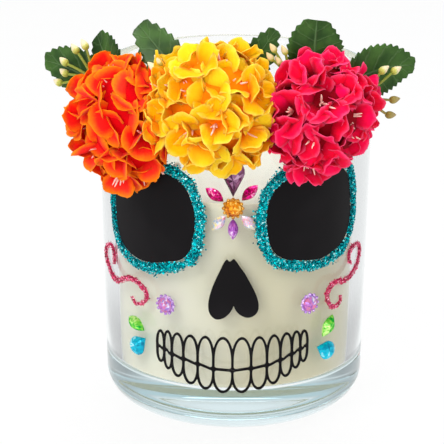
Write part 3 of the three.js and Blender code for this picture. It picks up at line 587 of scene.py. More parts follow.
@dataclass(frozen=True)
class WaxFinish:
    """Cream poured wax with a soft sheen, paler on its top and, as painted light, under its edge.
    """

    name: str = "cream_wax"
    pale: Colour = srgb(224, 220, 199)
    # Painted shade: a darker, warmer cream for the side right of the middle.
    right_shade: Colour = srgb(206, 197, 164)
    top: Colour = srgb(226, 222, 206)
    # Painted shade: a greyer top near the glass.
    top_shade: Colour = srgb(198, 193, 172)
    # Painted light: a paler cream for the side's last stretch under the edge.
    lip: Colour = srgb(240, 237, 210)
    edge: float = 0.088
    rim: float = 0.0437
    mottle_scale: float = 34.0

    def material(self) -> Material:
        """Mottled cream with a fine frost in its surface.

        The side darkens and warms right of the middle, a painted shade. The top greys towards the
        glass, a painted shade, and the lip, a painted light, is the last stretch of the side below
        the edge. Both are told apart by height and radius.
        """
        shader = Shader(self.name)
        where = shader.place()
        x, y, z = shader.split(where)
        drift = shader.times_plus(shader.noise(where, self.mottle_scale, 3.0), 0.024, x)
        # Painted shade: rises right of the middle and eases off again near the far right edge.
        right_shade_share = shader.times(shader.span(drift, -0.012, 0.026),
                              shader.span(drift, 0.040, 0.058, 1.0, 0.25))
        side = shader.blend(right_shade_share, self.pale, self.right_shade)
        radius = shader.length(shader.join(x, y))
        inside = shader.span(radius, self.rim - 0.0009, self.rim - 0.0003, 1.0, 0.0)
        # Painted shade on the top, greying towards the glass.
        top = shader.blend(shader.span(radius, 0.026, self.rim - 0.001), self.top, self.top_shade)
        on_top = shader.times(shader.span(z, self.edge - 0.0032, self.edge - 0.0026), inside)
        # Painted light on the side's last stretch under the edge.
        lip = shader.times(shader.span(z, self.edge - 0.010, self.edge - 0.002),
                           shader.maths("SUBTRACT", 1.0, inside))
        colour = shader.blend(lip, shader.blend(on_top, side, top), self.lip)
        grain = shader.noise(where, 900.0, 3.0)
        return shader.finish(
            Base_Color=colour, Roughness=shader.span(grain, 0.3, 0.7, 0.38, 0.55), IOR=1.44,
            Subsurface_Weight=0.15, Subsurface_Radius=(1.0, 0.85, 0.6), Subsurface_Scale=0.003,
            Normal=shader.bump(grain, 0.05, 0.3))


@dataclass(frozen=True)
class CottonFinish:
    """Waxed cotton of a wick."""

    name: str = "wick_cotton"
    pale: Colour = srgb(240, 235, 220)
    shade: Colour = srgb(205, 196, 172)

    def material(self) -> Material:
        """Fibres run up the wick, with wax between them."""
        shader = Shader(self.name)
        x, y, z = shader.split(shader.place())
        fibre = shader.noise(shader.join(x, y, shader.times(z, 0.15)), 5200.0)
        return shader.finish(Base_Color=shader.mottle(fibre, self.shade, self.pale),
                             Roughness=0.75, Normal=shader.bump(fibre, 0.12, 0.6))


@dataclass(frozen=True)
class TinFinish:
    """Tinned sheet steel of a wick tab."""

    name: str = "tab_tin"
    colour: Colour = srgb(186, 190, 192)

    def material(self) -> Material:
        """Rolled metal with fine scratches."""
        shader = Shader(self.name)
        scratch = shader.noise(shader.place(), 2600.0, 3.0)
        return shader.finish(Base_Color=self.colour, Metallic=1.0,
                             Roughness=shader.span(scratch, 0.3, 0.7, 0.25, 0.42))


@dataclass(frozen=True)
class GlueFinish:
    """Milky hot-melt glue."""

    name: str = "hot_glue"
    colour: Colour = srgb(232, 229, 216)
    shade: Colour = srgb(214, 208, 190)

    def material(self) -> Material:
        """Waxy translucent white with slow ripples."""
        shader = Shader(self.name)
        ripple = shader.noise(shader.place(), 240.0)
        return shader.finish(
            Base_Color=shader.mottle(ripple, self.colour, self.shade), Roughness=0.32,
            Subsurface_Weight=0.3, Subsurface_Radius=(1.0, 0.9, 0.8), Subsurface_Scale=0.002,
            Normal=shader.bump(ripple, 0.3, 0.4))


@dataclass(frozen=True)
class VinylFinish:
    """Black cut vinyl sheet, satin, with the faintest orange peel."""

    name: str = "black_vinyl"
    deep: Colour = srgb(16, 14, 16)
    worn: Colour = srgb(24, 22, 24)

    def material(self) -> Material:
        """Near-black with slow patches where it is rubbed."""
        shader = Shader(self.name)
        where = shader.place()
        patch = shader.span(shader.noise(where, 38.0), 0.4, 0.65)
        peel = shader.noise(where, 1500.0)
        return shader.finish(
            Base_Color=shader.blend(patch, self.deep, self.worn),
            Roughness=shader.span(patch, 0.0, 1.0, 0.42, 0.55), Specular_IOR_Level=0.08,
            Normal=shader.bump(peel, 0.04, 0.35))


@dataclass(frozen=True)
class GlitterFinish:
    """Foil flakes of many shades of one colour, held in clear glue; the palest are painted glints.
    """

    name: str
    stops: Stops
    metal: float = 0.55

    def material(self) -> Material:
        """Each flake takes its shade from its own tag."""
        shader = Shader(self.name)
        shade, gloss, _ = shader.tag("flake")
        return shader.finish(
            Base_Color=shader.ramp(shade, self.stops), Metallic=self.metal,
            Roughness=shader.span(gloss, 0.0, 1.0, 0.16, 0.42), Specular_IOR_Level=0.05,
            Coat_Weight=0.03, Coat_Roughness=0.08)


@dataclass(frozen=True)
class GlueBeadFinish:
    """Set glitter glue under the flakes, tinted by them."""

    name: str
    colour: Colour
    dark: Colour

    def material(self) -> Material:
        """Tinted glue packed with fine dust of foil."""
        shader = Shader(self.name)
        cells = shader.add("TexVoronoi", {"Vector": shader.place(), "Scale": 2600.0})
        shade = shader.split(cells.outputs["Color"])[0]
        return shader.finish(
            Base_Color=shader.blend(shade, self.dark, self.colour), Metallic=0.35, Roughness=0.35,
            Normal=shader.bump(cells.outputs["Distance"], 0.12, 0.7))


@dataclass(frozen=True)
class StoneFinish:
    """Foil-backed acrylic whose facets carry painted reflections in lighter and darker shades."""

    name: str
    stops: Stops
    metal: float = 0.25

    def material(self) -> Material:
        """Each facet takes its painted light or shade from its own tag, under a glassy coat."""
        shader = Shader(self.name)
        cloud = shader.noise(shader.place(), 700.0)
        shade = shader.maths("ADD", shader.tag("facet")[0],
                             shader.span(cloud, 0.3, 0.7, -0.09, 0.09))
        return shader.finish(
            Base_Color=shader.ramp(shade, self.stops), Metallic=self.metal,
            Roughness=0.12, Specular_IOR_Level=0.15, Coat_Weight=0.12, Coat_Roughness=0.02)


@dataclass(frozen=True)
class PetalFinish:
    """Dyed polyester petal: deep heart, part dye and part painted shade, even body, a painted
    highlight on its crest and a paler cut edge.
    """

    name: str
    # Heart colour: part dye, part painted shade of the floret's hollow.
    heart: Colour
    body: Colour
    # Crest colour: a painted highlight.
    crest: Colour
    rim: Colour
    rim_width: float = 0.7
    heart_reach: float = 0.5
    rim_strength: float = 1.0
    glow: float = 0.4

    def material(self) -> Material:
        """Colour by share along the petal and distance from its edge, over a fine weave.

        The crest's painted highlight fades in with the petal's tone, the heart's dye and painted
        shade reach along it, and the rim's is a ragged band that fades out towards the heart.
        Creases run along the petal.
        """
        shader = Shader(self.name)
        along, edge, tone = shader.tag("petal")
        warp, weft, floret = shader.tag("cloth")
        where = shader.place()
        cloud = shader.noise(where, 210.0)
        # Painted highlight: the crest share, from the petal's tone and a random cloud.
        worn = shader.maths("ADD", tone, shader.times_plus(cloud, 0.5, -0.25))
        thin = shader.span(worn, 0.35, 1.0)
        # The heart colour, part dye and part painted shade of the floret's hollow, reaches from the
        # base; the mix below also holds the painted crest highlight.
        heart_spread = shader.maths("ADD", along, shader.times_plus(cloud, 0.16, -0.08))
        dye_and_painted_light = shader.blend(shader.span(heart_spread, 0.14, self.heart_reach), self.heart,
                            shader.blend(thin, self.body, self.crest))
        ragged = shader.times_plus(shader.noise(where, 900.0), 0.8,
                                   shader.maths("SUBTRACT", edge, 0.4))
        near = shader.times(shader.span(ragged, 0.0, self.rim_width, 1.0, 0.0),
                            shader.span(along, 0.15, 0.6, 0.0, self.rim_strength))
        woven = shader.bump(shader.weave(warp, weft, 16.0), 0.02, 0.4)
        crease = shader.noise(shader.join(shader.times(warp, 0.14), shader.times(weft, 0.8),
                                          shader.times(floret, 7.3)), 1.0, 3.0)
        return shader.finish(
            Base_Color=shader.blend(near, dye_and_painted_light, self.rim), Roughness=0.8, Sheen_Weight=0.04,
            Sheen_Roughness=0.5, Specular_IOR_Level=0.08, Subsurface_Weight=self.glow,
            Subsurface_Radius=(1.0, 0.8, 0.6), Subsurface_Scale=0.0006,
            Normal=shader.bump(crease, 0.5, 0.6, woven))


@dataclass(frozen=True)
class StamenFinish:
    """Pale strands in a floret's heart."""

    name: str = "stamens"
    colour: Colour = srgb(250, 190, 185)
    pale: Colour = srgb(255, 225, 205)

    def material(self) -> Material:
        """Waxy strand, paler in patches."""
        shader = Shader(self.name)
        patch = shader.noise(shader.place(), 900.0)
        return shader.finish(Base_Color=shader.blend(patch, self.colour, self.pale), Roughness=0.5)


@dataclass(frozen=True)
class LeafFinish:
    """Starched satin leaf, dark green, with pressed veins and a woven ground."""

    name: str = "leaf_satin"
    deep: Colour = srgb(34, 68, 18)
    lit: Colour = srgb(72, 112, 44)
    vein: Colour = srgb(104, 136, 86)
    gap: Colour = srgb(20, 44, 16)
    gloss: float = 0.5
    wax: float = 0.0

    def material(self) -> Material:
        """Veins leave the midrib at a slant, as waves of along minus across."""
        shader = Shader(self.name)
        along, across, _ = shader.tag("blade")
        warp, weft, _ = shader.tag("cloth")
        ground = shader.mottle(shader.noise(shader.place(), 120.0, 3.0), self.deep, self.lit)
        side = shader.maths("ABSOLUTE", across)
        slant = shader.maths("SUBTRACT", shader.times(along, 34.0), shader.times(side, 7.0))
        vein = shader.span(shader.maths("SINE", slant), 0.86, 1.0)
        lines = shader.most(shader.span(side, 0.0, 0.07, 1.0, 0.0), shader.times(vein, 0.45))
        thread = shader.weave(warp, weft, 12.0)
        shaded = shader.blend(shader.times(shader.span(thread, -1.0, 1.0), 0.35), ground, self.gap)
        pressed = shader.bump(lines, 0.35, 0.8)
        return shader.finish(
            Base_Color=shader.blend(shader.times(lines, 0.55), shaded, self.vein),
            Roughness=self.gloss, Specular_IOR_Level=0.2, Coat_Weight=self.wax,
            Coat_Roughness=0.22, Normal=shader.bump(thread, 0.03, 0.6, pressed))


@dataclass(frozen=True)
class BudFinish:
    """Moulded bud: yellow-green stem and base running into a cream tip."""

    name: str = "bud_cream"
    stem: Colour = srgb(140, 150, 48)
    base: Colour = srgb(190, 190, 84)
    tip: Colour = srgb(238, 220, 180)
    aged: Colour = srgb(150, 128, 56)

    def material(self) -> Material:
        """Colour by share along the bud, from the tag; stems are below zero."""
        shader = Shader(self.name)
        along, brown, _ = shader.tag("bud")
        speck = shader.noise(shader.place(), 1500.0)
        soft = shader.maths("ADD", along, shader.times_plus(speck, 0.3, -0.15))
        colour = shader.ramp(shader.span(soft, -1.0, 1.0), (
            (0.0, self.stem), (0.48, self.stem), (0.68, self.base), (0.86, self.tip)))
        return shader.finish(
            Base_Color=shader.blend(brown, colour, self.aged), Roughness=0.55,
            Subsurface_Weight=0.1, Subsurface_Scale=0.001, Normal=shader.bump(speck, 0.08, 0.5))


# Tumbler, wax and wicks


@dataclass(frozen=True)
class Wall:
    """Outer wall of the tumbler, which everything on the face is laid on."""

    height: float = 127.0
    rim_radius: float = 50.0
    heel_radius: float = 47.6
    heel_height: float = 12.7
    heel_width: float = 16.2

    @property
    def middle_radius(self) -> float:
        """Radius that lengths along the wall are arcs of."""
        return (self.rim_radius + self.heel_radius) / 2

    def radius(self, z: np.ndarray | float) -> np.ndarray | float:
        """Outer radius at a height, on a straight taper from heel to rim."""
        share = (z - self.heel_height) / (self.height - self.heel_height)
        return self.heel_radius + (self.rim_radius - self.heel_radius) * share

    def on(self, along: np.ndarray, z: np.ndarray, proud: np.ndarray | float) -> np.ndarray:
        """Places off the wall: (r sin a, -r cos a, z), where a is along over the middle radius.

        Args:
            along: Arc lengths from the front, positive to the right.
            z: Heights.
            proud: Distance off the wall.

        Returns:
            Places, with a last axis of 3.
        """
        angle = along / self.middle_radius
        radius = self.radius(z) + proud
        return beside(radius * np.sin(angle), -radius * np.cos(angle), z)

    def frame(self, along: float, z: float, proud: float) -> tuple[np.ndarray, np.ndarray]:
        """Seat of a flat piece.

        Args:
            along: Arc length of its middle.
            z: Height of its middle.
            proud: Distance of its back off the wall.

        Returns:
            Its origin, and rows for its right, its up and its facing directions.
        """
        angle = along / self.middle_radius
        out = np.array([math.sin(angle), -math.cos(angle), 0.0])
        across = np.array([math.cos(angle), math.sin(angle), 0.0])
        slope = (self.rim_radius - self.heel_radius) / (self.height - self.heel_height)
        up = unit(out * slope + np.array([0.0, 0.0, 1.0]))
        return self.on(along, z, proud), np.array([across, up, np.cross(across, up)])


WALL = Wall()


def quarter(start: tuple[float, float], end: tuple[float, float], steps: int,
            outward: bool) -> np.ndarray:
    """Quarter ellipse between two [radius, height] points, without the first.

    Args:
        start: First point.
        end: Last point.
        steps: Steps along the arc.
        outward: Whether it leaves the first point along the radius.

    Returns:
        Points, shape (steps, 2).
    """
    angle = np.arange(1, steps + 1) / steps * np.pi / 2
    across = np.sin(angle) if outward else 1 - np.cos(angle)
    along = 1 - np.cos(angle) if outward else np.sin(angle)
    return beside(start[0] + (end[0] - start[0]) * across, start[1] + (end[1] - start[1]) * along)


@dataclass
class Tumbler:
    """Thick-based glass with a rounded heel and a fire-polished lip."""

    wall: Wall = WALL
    thickness: float = 5.2
    floor: float = 17.3
    fillet: float = 3.0
    push_up: float = 0.7
    segments: int = 192

    def profile(self) -> np.ndarray:
        """Section from the middle of the base, round the lip, to the middle of the floor."""
        wall = self.wall
        lip = self.thickness / 2
        foot = (wall.heel_radius - wall.heel_width, 0.0)
        heel = (wall.heel_radius, wall.heel_height)
        outside = (wall.radius(wall.height - lip), wall.height - lip)
        top = (outside[0] - lip, wall.height)
        inside = (outside[0] - self.thickness, wall.height - lip)
        corner = self.floor + self.fillet
        fillet_top = (wall.radius(corner) - self.thickness, corner)
        fillet_foot = (fillet_top[0] - self.fillet, self.floor)
        bowl = np.linspace(0.0, 1.0, 9)[:-1]
        hollow = beside(foot[0] * bowl, self.push_up * np.cos(bowl * np.pi / 2) ** 2)
        side = np.linspace(0.0, 1.0, 12)[1:, None]
        return np.concatenate([
            hollow, [foot], quarter(foot, heel, 20, True),
            np.array(heel) + (np.array(outside) - heel) * side,
            quarter(outside, top, 8, False), quarter(top, inside, 8, True),
            np.array(inside) + (np.array(fillet_top) - inside) * side,
            quarter(fillet_top, fillet_foot, 14, False), [(fillet_foot[0] / 2, self.floor)],
            [(0.0, self.floor)]])

    def build(self) -> None:
        """Turns the section about the axis."""
        mesh = revolve(self.profile(), self.segments)
        fit(write_piece("tumbler", *mesh, GlassFinish().material()), "glass", "glass_jar")


@dataclass
class Filling:
    """Poured wax with three wicks in their tabs."""

    tumbler: Tumbler
    headspace: float = 39.0
    gap: float = 0.3
    dish: float = 1.2
    meniscus: float = 1.8
    wick_count: int = 3
    wick_radius: float = 1.2
    wick_proud: float = 6.0
    tab_radius: float = 8.0
    tab_inset: float = 7.7
    tab_thickness: float = 0.5
    collar_radius: float = 2.4
    collar_height: float = 5.0

    @property
    def top(self) -> float:
        """Height of the wax where it meets the glass."""
        return self.tumbler.wall.height - self.headspace

    def inner_radius(self, z: np.ndarray | float) -> np.ndarray | float:
        """Radius of the wax's side at a height."""
        return self.tumbler.wall.radius(z) - self.tumbler.thickness - self.gap

    def wick_places(self) -> np.ndarray:
        """Places of the wicks round the axis, with their tabs on the flat of the floor."""
        corner = self.tumbler.floor + self.tumbler.fillet
        flat = self.tumbler.wall.radius(corner) - self.tumbler.thickness - self.tumbler.fillet
        circle = flat - self.tab_inset - self.tab_radius
        angle = np.pi / 2 + turns(self.wick_count)
        return circle * beside(np.cos(angle), np.sin(angle))

    def build(self) -> None:
        """Makes the wax, the wicks and their tabs."""
        self.build_wax()
        cotton, tin = CottonFinish().material(), TinFinish().material()
        for number, place in enumerate(self.wick_places(), start=1):
            self.build_wick(number, place, cotton)
            self.build_tab(number, place, tin)

    def build_wax(self) -> None:
        """Turns the wax and lowers its top.

        The top sinks as (1 - share^2) of the dish, climbs the glass in the last stretch as a
        cubic, rises a little round each wick, and waves slightly from three slow sines.
        """
        tumbler = self.tumbler
        corner = tumbler.floor + tumbler.fillet
        seat = tumbler.floor + 0.06
        outer = (self.inner_radius(corner), corner)
        foot = (outer[0] - tumbler.fillet, seat)
        side = np.linspace(corner, self.top, 30)[1:]
        share = np.linspace(1.0, 0.0, 40)[1:]
        radii = self.inner_radius(self.top) * share
        profile = np.concatenate([
            [(0.0, seat), (foot[0] / 2, seat), foot], quarter(foot, outer, 14, True),
            beside(self.inner_radius(side), side), beside(radii, self.top)])
        points, faces = revolve(profile, 160)
        radius = np.hypot(points[:, 0], points[:, 1])
        share = radius / self.inner_radius(self.top)
        climb = smooth(1.0 - 2.2 * self.meniscus / self.inner_radius(self.top), 1.0, share)
        waves = (0.12 * np.sin(points[:, 0] / 9) * np.sin(points[:, 1] / 11 + 1)
                 + 0.08 * np.sin(points[:, 0] / 4 + points[:, 1] / 5))
        lower = (-self.dish * (1 - share ** 2) - self.meniscus * (1 - climb) ** 2 / 2
                 + waves * (1 - climb))
        for place in self.wick_places():
            away = np.hypot(points[:, 0] - place[0], points[:, 1] - place[1])
            lower += 0.9 * np.exp(-((away - self.wick_radius) / 2.2) ** 2)
        on_top = points[:, 2] > self.top - 0.01
        points[:, 2] += np.where(on_top, np.minimum(lower, 0.0), 0.0)
        fit(write_piece("wax", points, faces, WaxFinish().material()), "wax", "wax_fill")

    def build_wick(self, number: int, place: np.ndarray, material: Material) -> None:
        """Braided cotton: a round section whose radius waves as three strands wind up it."""
        top = self.top + self.wick_proud
        z = np.linspace(self.tumbler.floor + 0.1, top, 140)[:, None]
        angle = turns(18)[None, :]
        left, right = (np.abs(np.sin(1.5 * angle + way * z * 0.9)) * 0.5 for way in (1, -1))
        tuck = np.clip((top - z) / 0.8, 0.0, 1.0) ** 0.5
        radius = self.wick_radius * (0.84 + 0.16 * (left + right)) * (0.35 + 0.65 * tuck)
        rings = beside(place[0] + radius * np.cos(angle), place[1] + radius * np.sin(angle), z)
        piece = write_piece(f"wick_cotton_{number}", *loft(rings), material)
        fit(piece, "wick", f"wick_{number}")

    def build_tab(self, number: int, place: np.ndarray, material: Material) -> None:
        """Stamped disc with a rounded edge and a raised collar for the wick."""
        floor, bore = self.tumbler.floor + 0.08, self.wick_radius + 0.05
        plate, collar = floor + self.tab_thickness, floor + self.collar_height
        edge = self.tab_thickness / 2
        rim = np.linspace(-np.pi / 2, np.pi / 2, 7)
        bead = beside(self.tab_radius - edge + edge * np.cos(rim),
                      floor + edge + edge * np.sin(rim))
        profile = np.concatenate([[(bore, floor)], bead, [
            (self.collar_radius + 1.0, plate), (self.collar_radius + 0.2, plate + 0.4),
            (self.collar_radius, plate + 1.0), (self.collar_radius - 0.2, collar - 0.3),
            (self.collar_radius - 0.5, collar), (bore, collar)]])
        points, faces = revolve(profile, 48)
        piece = write_piece(f"tab_{number}", points + np.array([*place, 0.0]), faces, material)
        fit(piece, "wick_tab", f"wick_tab_{number}")


# The face: vinyl, glitter glue and stones


@dataclass(frozen=True)
class Form:
    """A drawn form's middle on the wall and its full width and height."""

    along: float
    height_at: float
    width: float
    height: float

    def points(self, shares: np.ndarray) -> np.ndarray:
        """Places on the face of shares of half the width and half the height."""
        half = np.array([self.width, self.height]) / 2
        return np.array([self.along, self.height_at]) + np.asarray(shares) * half


EYE_SHARES = {
    Side.LEFT: [[1, 0.07], [0.98, 0.27], [0.91, 0.51], [0.775, 0.785], [0.53, 0.94],
                [0.06, 1], [-0.43, 0.91], [-0.79, 0.68], [-0.97, 0.275], [-1, -0.1],
                [-0.96, -0.42], [-0.86, -0.68], [-0.67, -0.855], [-0.38, -0.98], [0, -1],
                [0.39, -0.91], [0.69, -0.82], [0.87, -0.65], [0.955, -0.35]],
    Side.RIGHT: [[1, -0.22], [0.98, 0.07], [0.93, 0.42], [0.815, 0.71], [0.57, 0.91],
                 [0.08, 1], [-0.41, 0.965], [-0.66, 0.81], [-0.87, 0.6], [-0.98, 0.3],
                 [-1, -0.14], [-0.96, -0.45], [-0.84, -0.72], [-0.625, -0.88], [-0.3, -0.955],
                 [0.185, -1], [0.49, -0.92], [0.735, -0.81], [0.91, -0.585]]}
NOSE_SHARES = [[-0.26, 0.98], [-0.15, 0.91], [0, 1], [0.22, 0.78], [0.45, 0.515],
               [0.63, 0.25], [0.82, -0.05], [0.95, -0.31], [1, -0.54], [0.96, -0.74],
               [0.82, -0.87], [0.595, -0.93], [0.37, -0.885], [0.185, -0.78], [0.055, -0.63],
               [0.01, -0.54], [-0.04, -0.63], [-0.185, -0.81], [-0.41, -0.955], [-0.67, -1],
               [-0.86, -0.91], [-0.97, -0.755], [-1, -0.54], [-0.97, -0.34], [-0.86, -0.01],
               [-0.71, 0.3], [-0.52, 0.63], [-0.37, 0.89]]
SWIRL_SHARES = {
    Side.LEFT: [[-0.33, 0.28], [-0.31, 0.64], [-0.41, 0.98], [-0.65, 0.97], [-0.875, 0.69],
                [-0.93, 0.36], [-0.7, -0.02], [-0.455, -0.3], [-0.21, -0.38], [0.035, -0.235],
                [0.28, -0.045], [0.58, 0.01], [0.83, -0.14], [1, -0.41], [0.97, -0.71],
                [0.8, -0.93], [0.59, -0.98], [0.47, -0.75]],
    Side.RIGHT: [[0.32, 0.35], [0.145, 0.575], [0.185, 0.82], [0.43, 0.97], [0.74, 0.98],
                 [0.98, 0.8], [0.99, 0.53], [0.875, 0.26], [0.63, 0.055], [0.32, -0.1],
                 [-0.1, -0.16], [-0.515, -0.075], [-0.825, -0.18], [-1, -0.43], [-0.93, -0.755],
                 [-0.72, -0.97], [-0.495, -0.99], [-0.3, -0.85], [-0.3, -0.655]]}


@dataclass
class Layout:
    """Heights and middles that the face is stacked from, above the tumbler's heel."""

    wall: Wall = WALL
    shift: float = -0.6
    teeth_width: float = 57.3
    teeth_height: float = 22.2
    teeth_above_heel: float = 5.6
    teeth_shift: float = -0.15
    nose_width: float = 17.9
    nose_height: float = 22.7
    nose_above_teeth: float = 5.8
    nose_shift: float = 0.3
    spray_above_nose: float = 18.8

    @property
    def teeth_foot(self) -> float:
        """Height of the lowest tooth."""
        return self.wall.heel_height + self.teeth_above_heel

    @property
    def teeth_top(self) -> float:
        """Height of the highest tooth."""
        return self.teeth_foot + self.teeth_height

    @property
    def nose_foot(self) -> float:
        """Height of the nose's lower edge."""
        return self.teeth_top + self.nose_above_teeth

    def nose(self) -> Form:
        """The nose."""
        return Form(self.shift + self.nose_shift, self.nose_foot + self.nose_height / 2,
                    self.nose_width, self.nose_height)

    def eye(self, side: Side) -> Form:
        """One eye socket."""
        width, height, middle, above = {
            Side.LEFT: (36.4, 34.6, 13.3, 17.9), Side.RIGHT: (36.8, 34.3, 11.7, 19.7)}[side]
        return Form(self.shift + side.value * (middle + width / 2),
                    self.nose_foot + above + height / 2, width, height)

    def swirl(self, side: Side) -> Form:
        """One cheek scroll, from the outer and lower edge of its eye."""
        width, height, past, below = {
            Side.LEFT: (29.0, 17.4, 12.6, 17.3), Side.RIGHT: (20.6, 20.3, 9.1, 20.1)}[side]
        eye = self.eye(side)
        outer = eye.along + side.value * (eye.width / 2 + past)
        return Form(outer - side.value * width / 2,
                    eye.height_at - eye.height / 2 - below + height / 2, width, height)

    def spray(self) -> tuple[float, float]:
        """Middle of the forehead spray."""
        return self.shift, self.nose_foot + self.nose_height + self.spray_above_nose


@dataclass
class VinylFace:
    """Eye sockets, nose and teeth, cut from one sheet and rubbed on the wall."""

    layout: Layout
    back: float = 0.04
    front: float = 0.42
    eye_points: int = 180
    nose_points: int = 200

    def build(self) -> None:
        """Makes the four vinyl pieces."""
        vinyl = VinylFinish().material()
        for side, shares in EYE_SHARES.items():
            name = side.name.lower()
            self.patch(f"eye_socket_{name}", f"eye_{name}", self.layout.eye(side), shares,
                       self.eye_points, vinyl)
        self.patch("nose_heart", "nose", self.layout.nose(), NOSE_SHARES, self.nose_points, vinyl)
        self.teeth(vinyl)

    def patch(self, name: str, node: str, form: Form, shares: list[list[float]], count: int,
              material: Material) -> None:
        """Sheet inside an outline, following the wall.

        Rings shrink from the outline to the form's middle on the back and grow again on the
        front, and the front's last rings drop to the back as a rounded edge.

        Args:
            name: Object name.
            node: Node that it stands for.
            form: Middle and size of the form.
            shares: Its outline, in shares of half the width and half the height.
            count: Points round the outline.
            material: Finish.
        """
        outline = smooth_curve(form.points(shares), True, count)
        middle = np.array([form.along, form.height_at])
        shares = np.linspace(0.04, 1.0, 13)
        rounding = np.array([1.0, 0.9985, 0.995, 0.988])
        drops = np.array([0.55, 0.25, 0.06, 0.0]) * (self.front - self.back)
        levels = np.concatenate([shares, rounding, shares[-2::-1]])
        proud = np.concatenate([np.full(len(shares), self.back), self.front - drops,
                                np.full(len(shares) - 1, self.front)])
        flat = middle + (outline - middle)[None] * levels[:, None, None]
        rings = self.layout.wall.on(flat[..., 0], flat[..., 1], proud[:, None])
        fit(write_piece(name, *loft(rings), material), "vinyl", node)

    def teeth(self, material: Material) -> None:
        """The drawn grid of the teeth, cut as one sheet and bent round the wall.

        A filled curve cuts the windows out of the sheet. Its mesh is welded where vertices
        share a place, and its faces are sorted by their count of corners.
        """
        grid = TeethGrid(self.layout)
        curve = bpy.data.curves.new("teeth_outline", "CURVE")
        curve.dimensions = "2D"
        curve.fill_mode = "BOTH"
        curve.extrude = (self.front - self.back) / 2
        for outline in [grid.outside(), *grid.windows()]:
            spline = curve.splines.new("POLY")
            spline.points.add(len(outline) - 1)
            spline.points.foreach_set("co", beside(*outline.T, 0.0, 1.0).ravel())
            spline.use_cyclic_u = True
        drawn = bpy.data.objects.new("teeth_outline", curve)
        bpy.context.scene.collection.objects.link(drawn)
        mesh = bpy.data.meshes.new_from_object(drawn)
        bpy.data.objects.remove(drawn)
        flat = read(mesh.vertices, "co", 3).reshape(-1, 3)
        _, first, welded = np.unique(np.round(flat, 5), axis=0, return_index=True,
                                     return_inverse=True)
        corners = welded.ravel()[read(mesh.loops, "vertex_index", kind=np.int64)]
        totals = read(mesh.polygons, "loop_total", kind=np.int64)
        starts = np.concatenate([[0], np.cumsum(totals)[:-1]])
        faces = [corners[starts[totals == size][:, None] + np.arange(size)]
                 for size in np.unique(totals)]
        x, y, z = flat[first].T
        places = self.layout.wall.on(x, y, (self.front + self.back) / 2 + z)
        piece = write_piece("teeth_grid", places, faces, material, smooth_faces=False)
        fit(piece, "vinyl", "teeth")


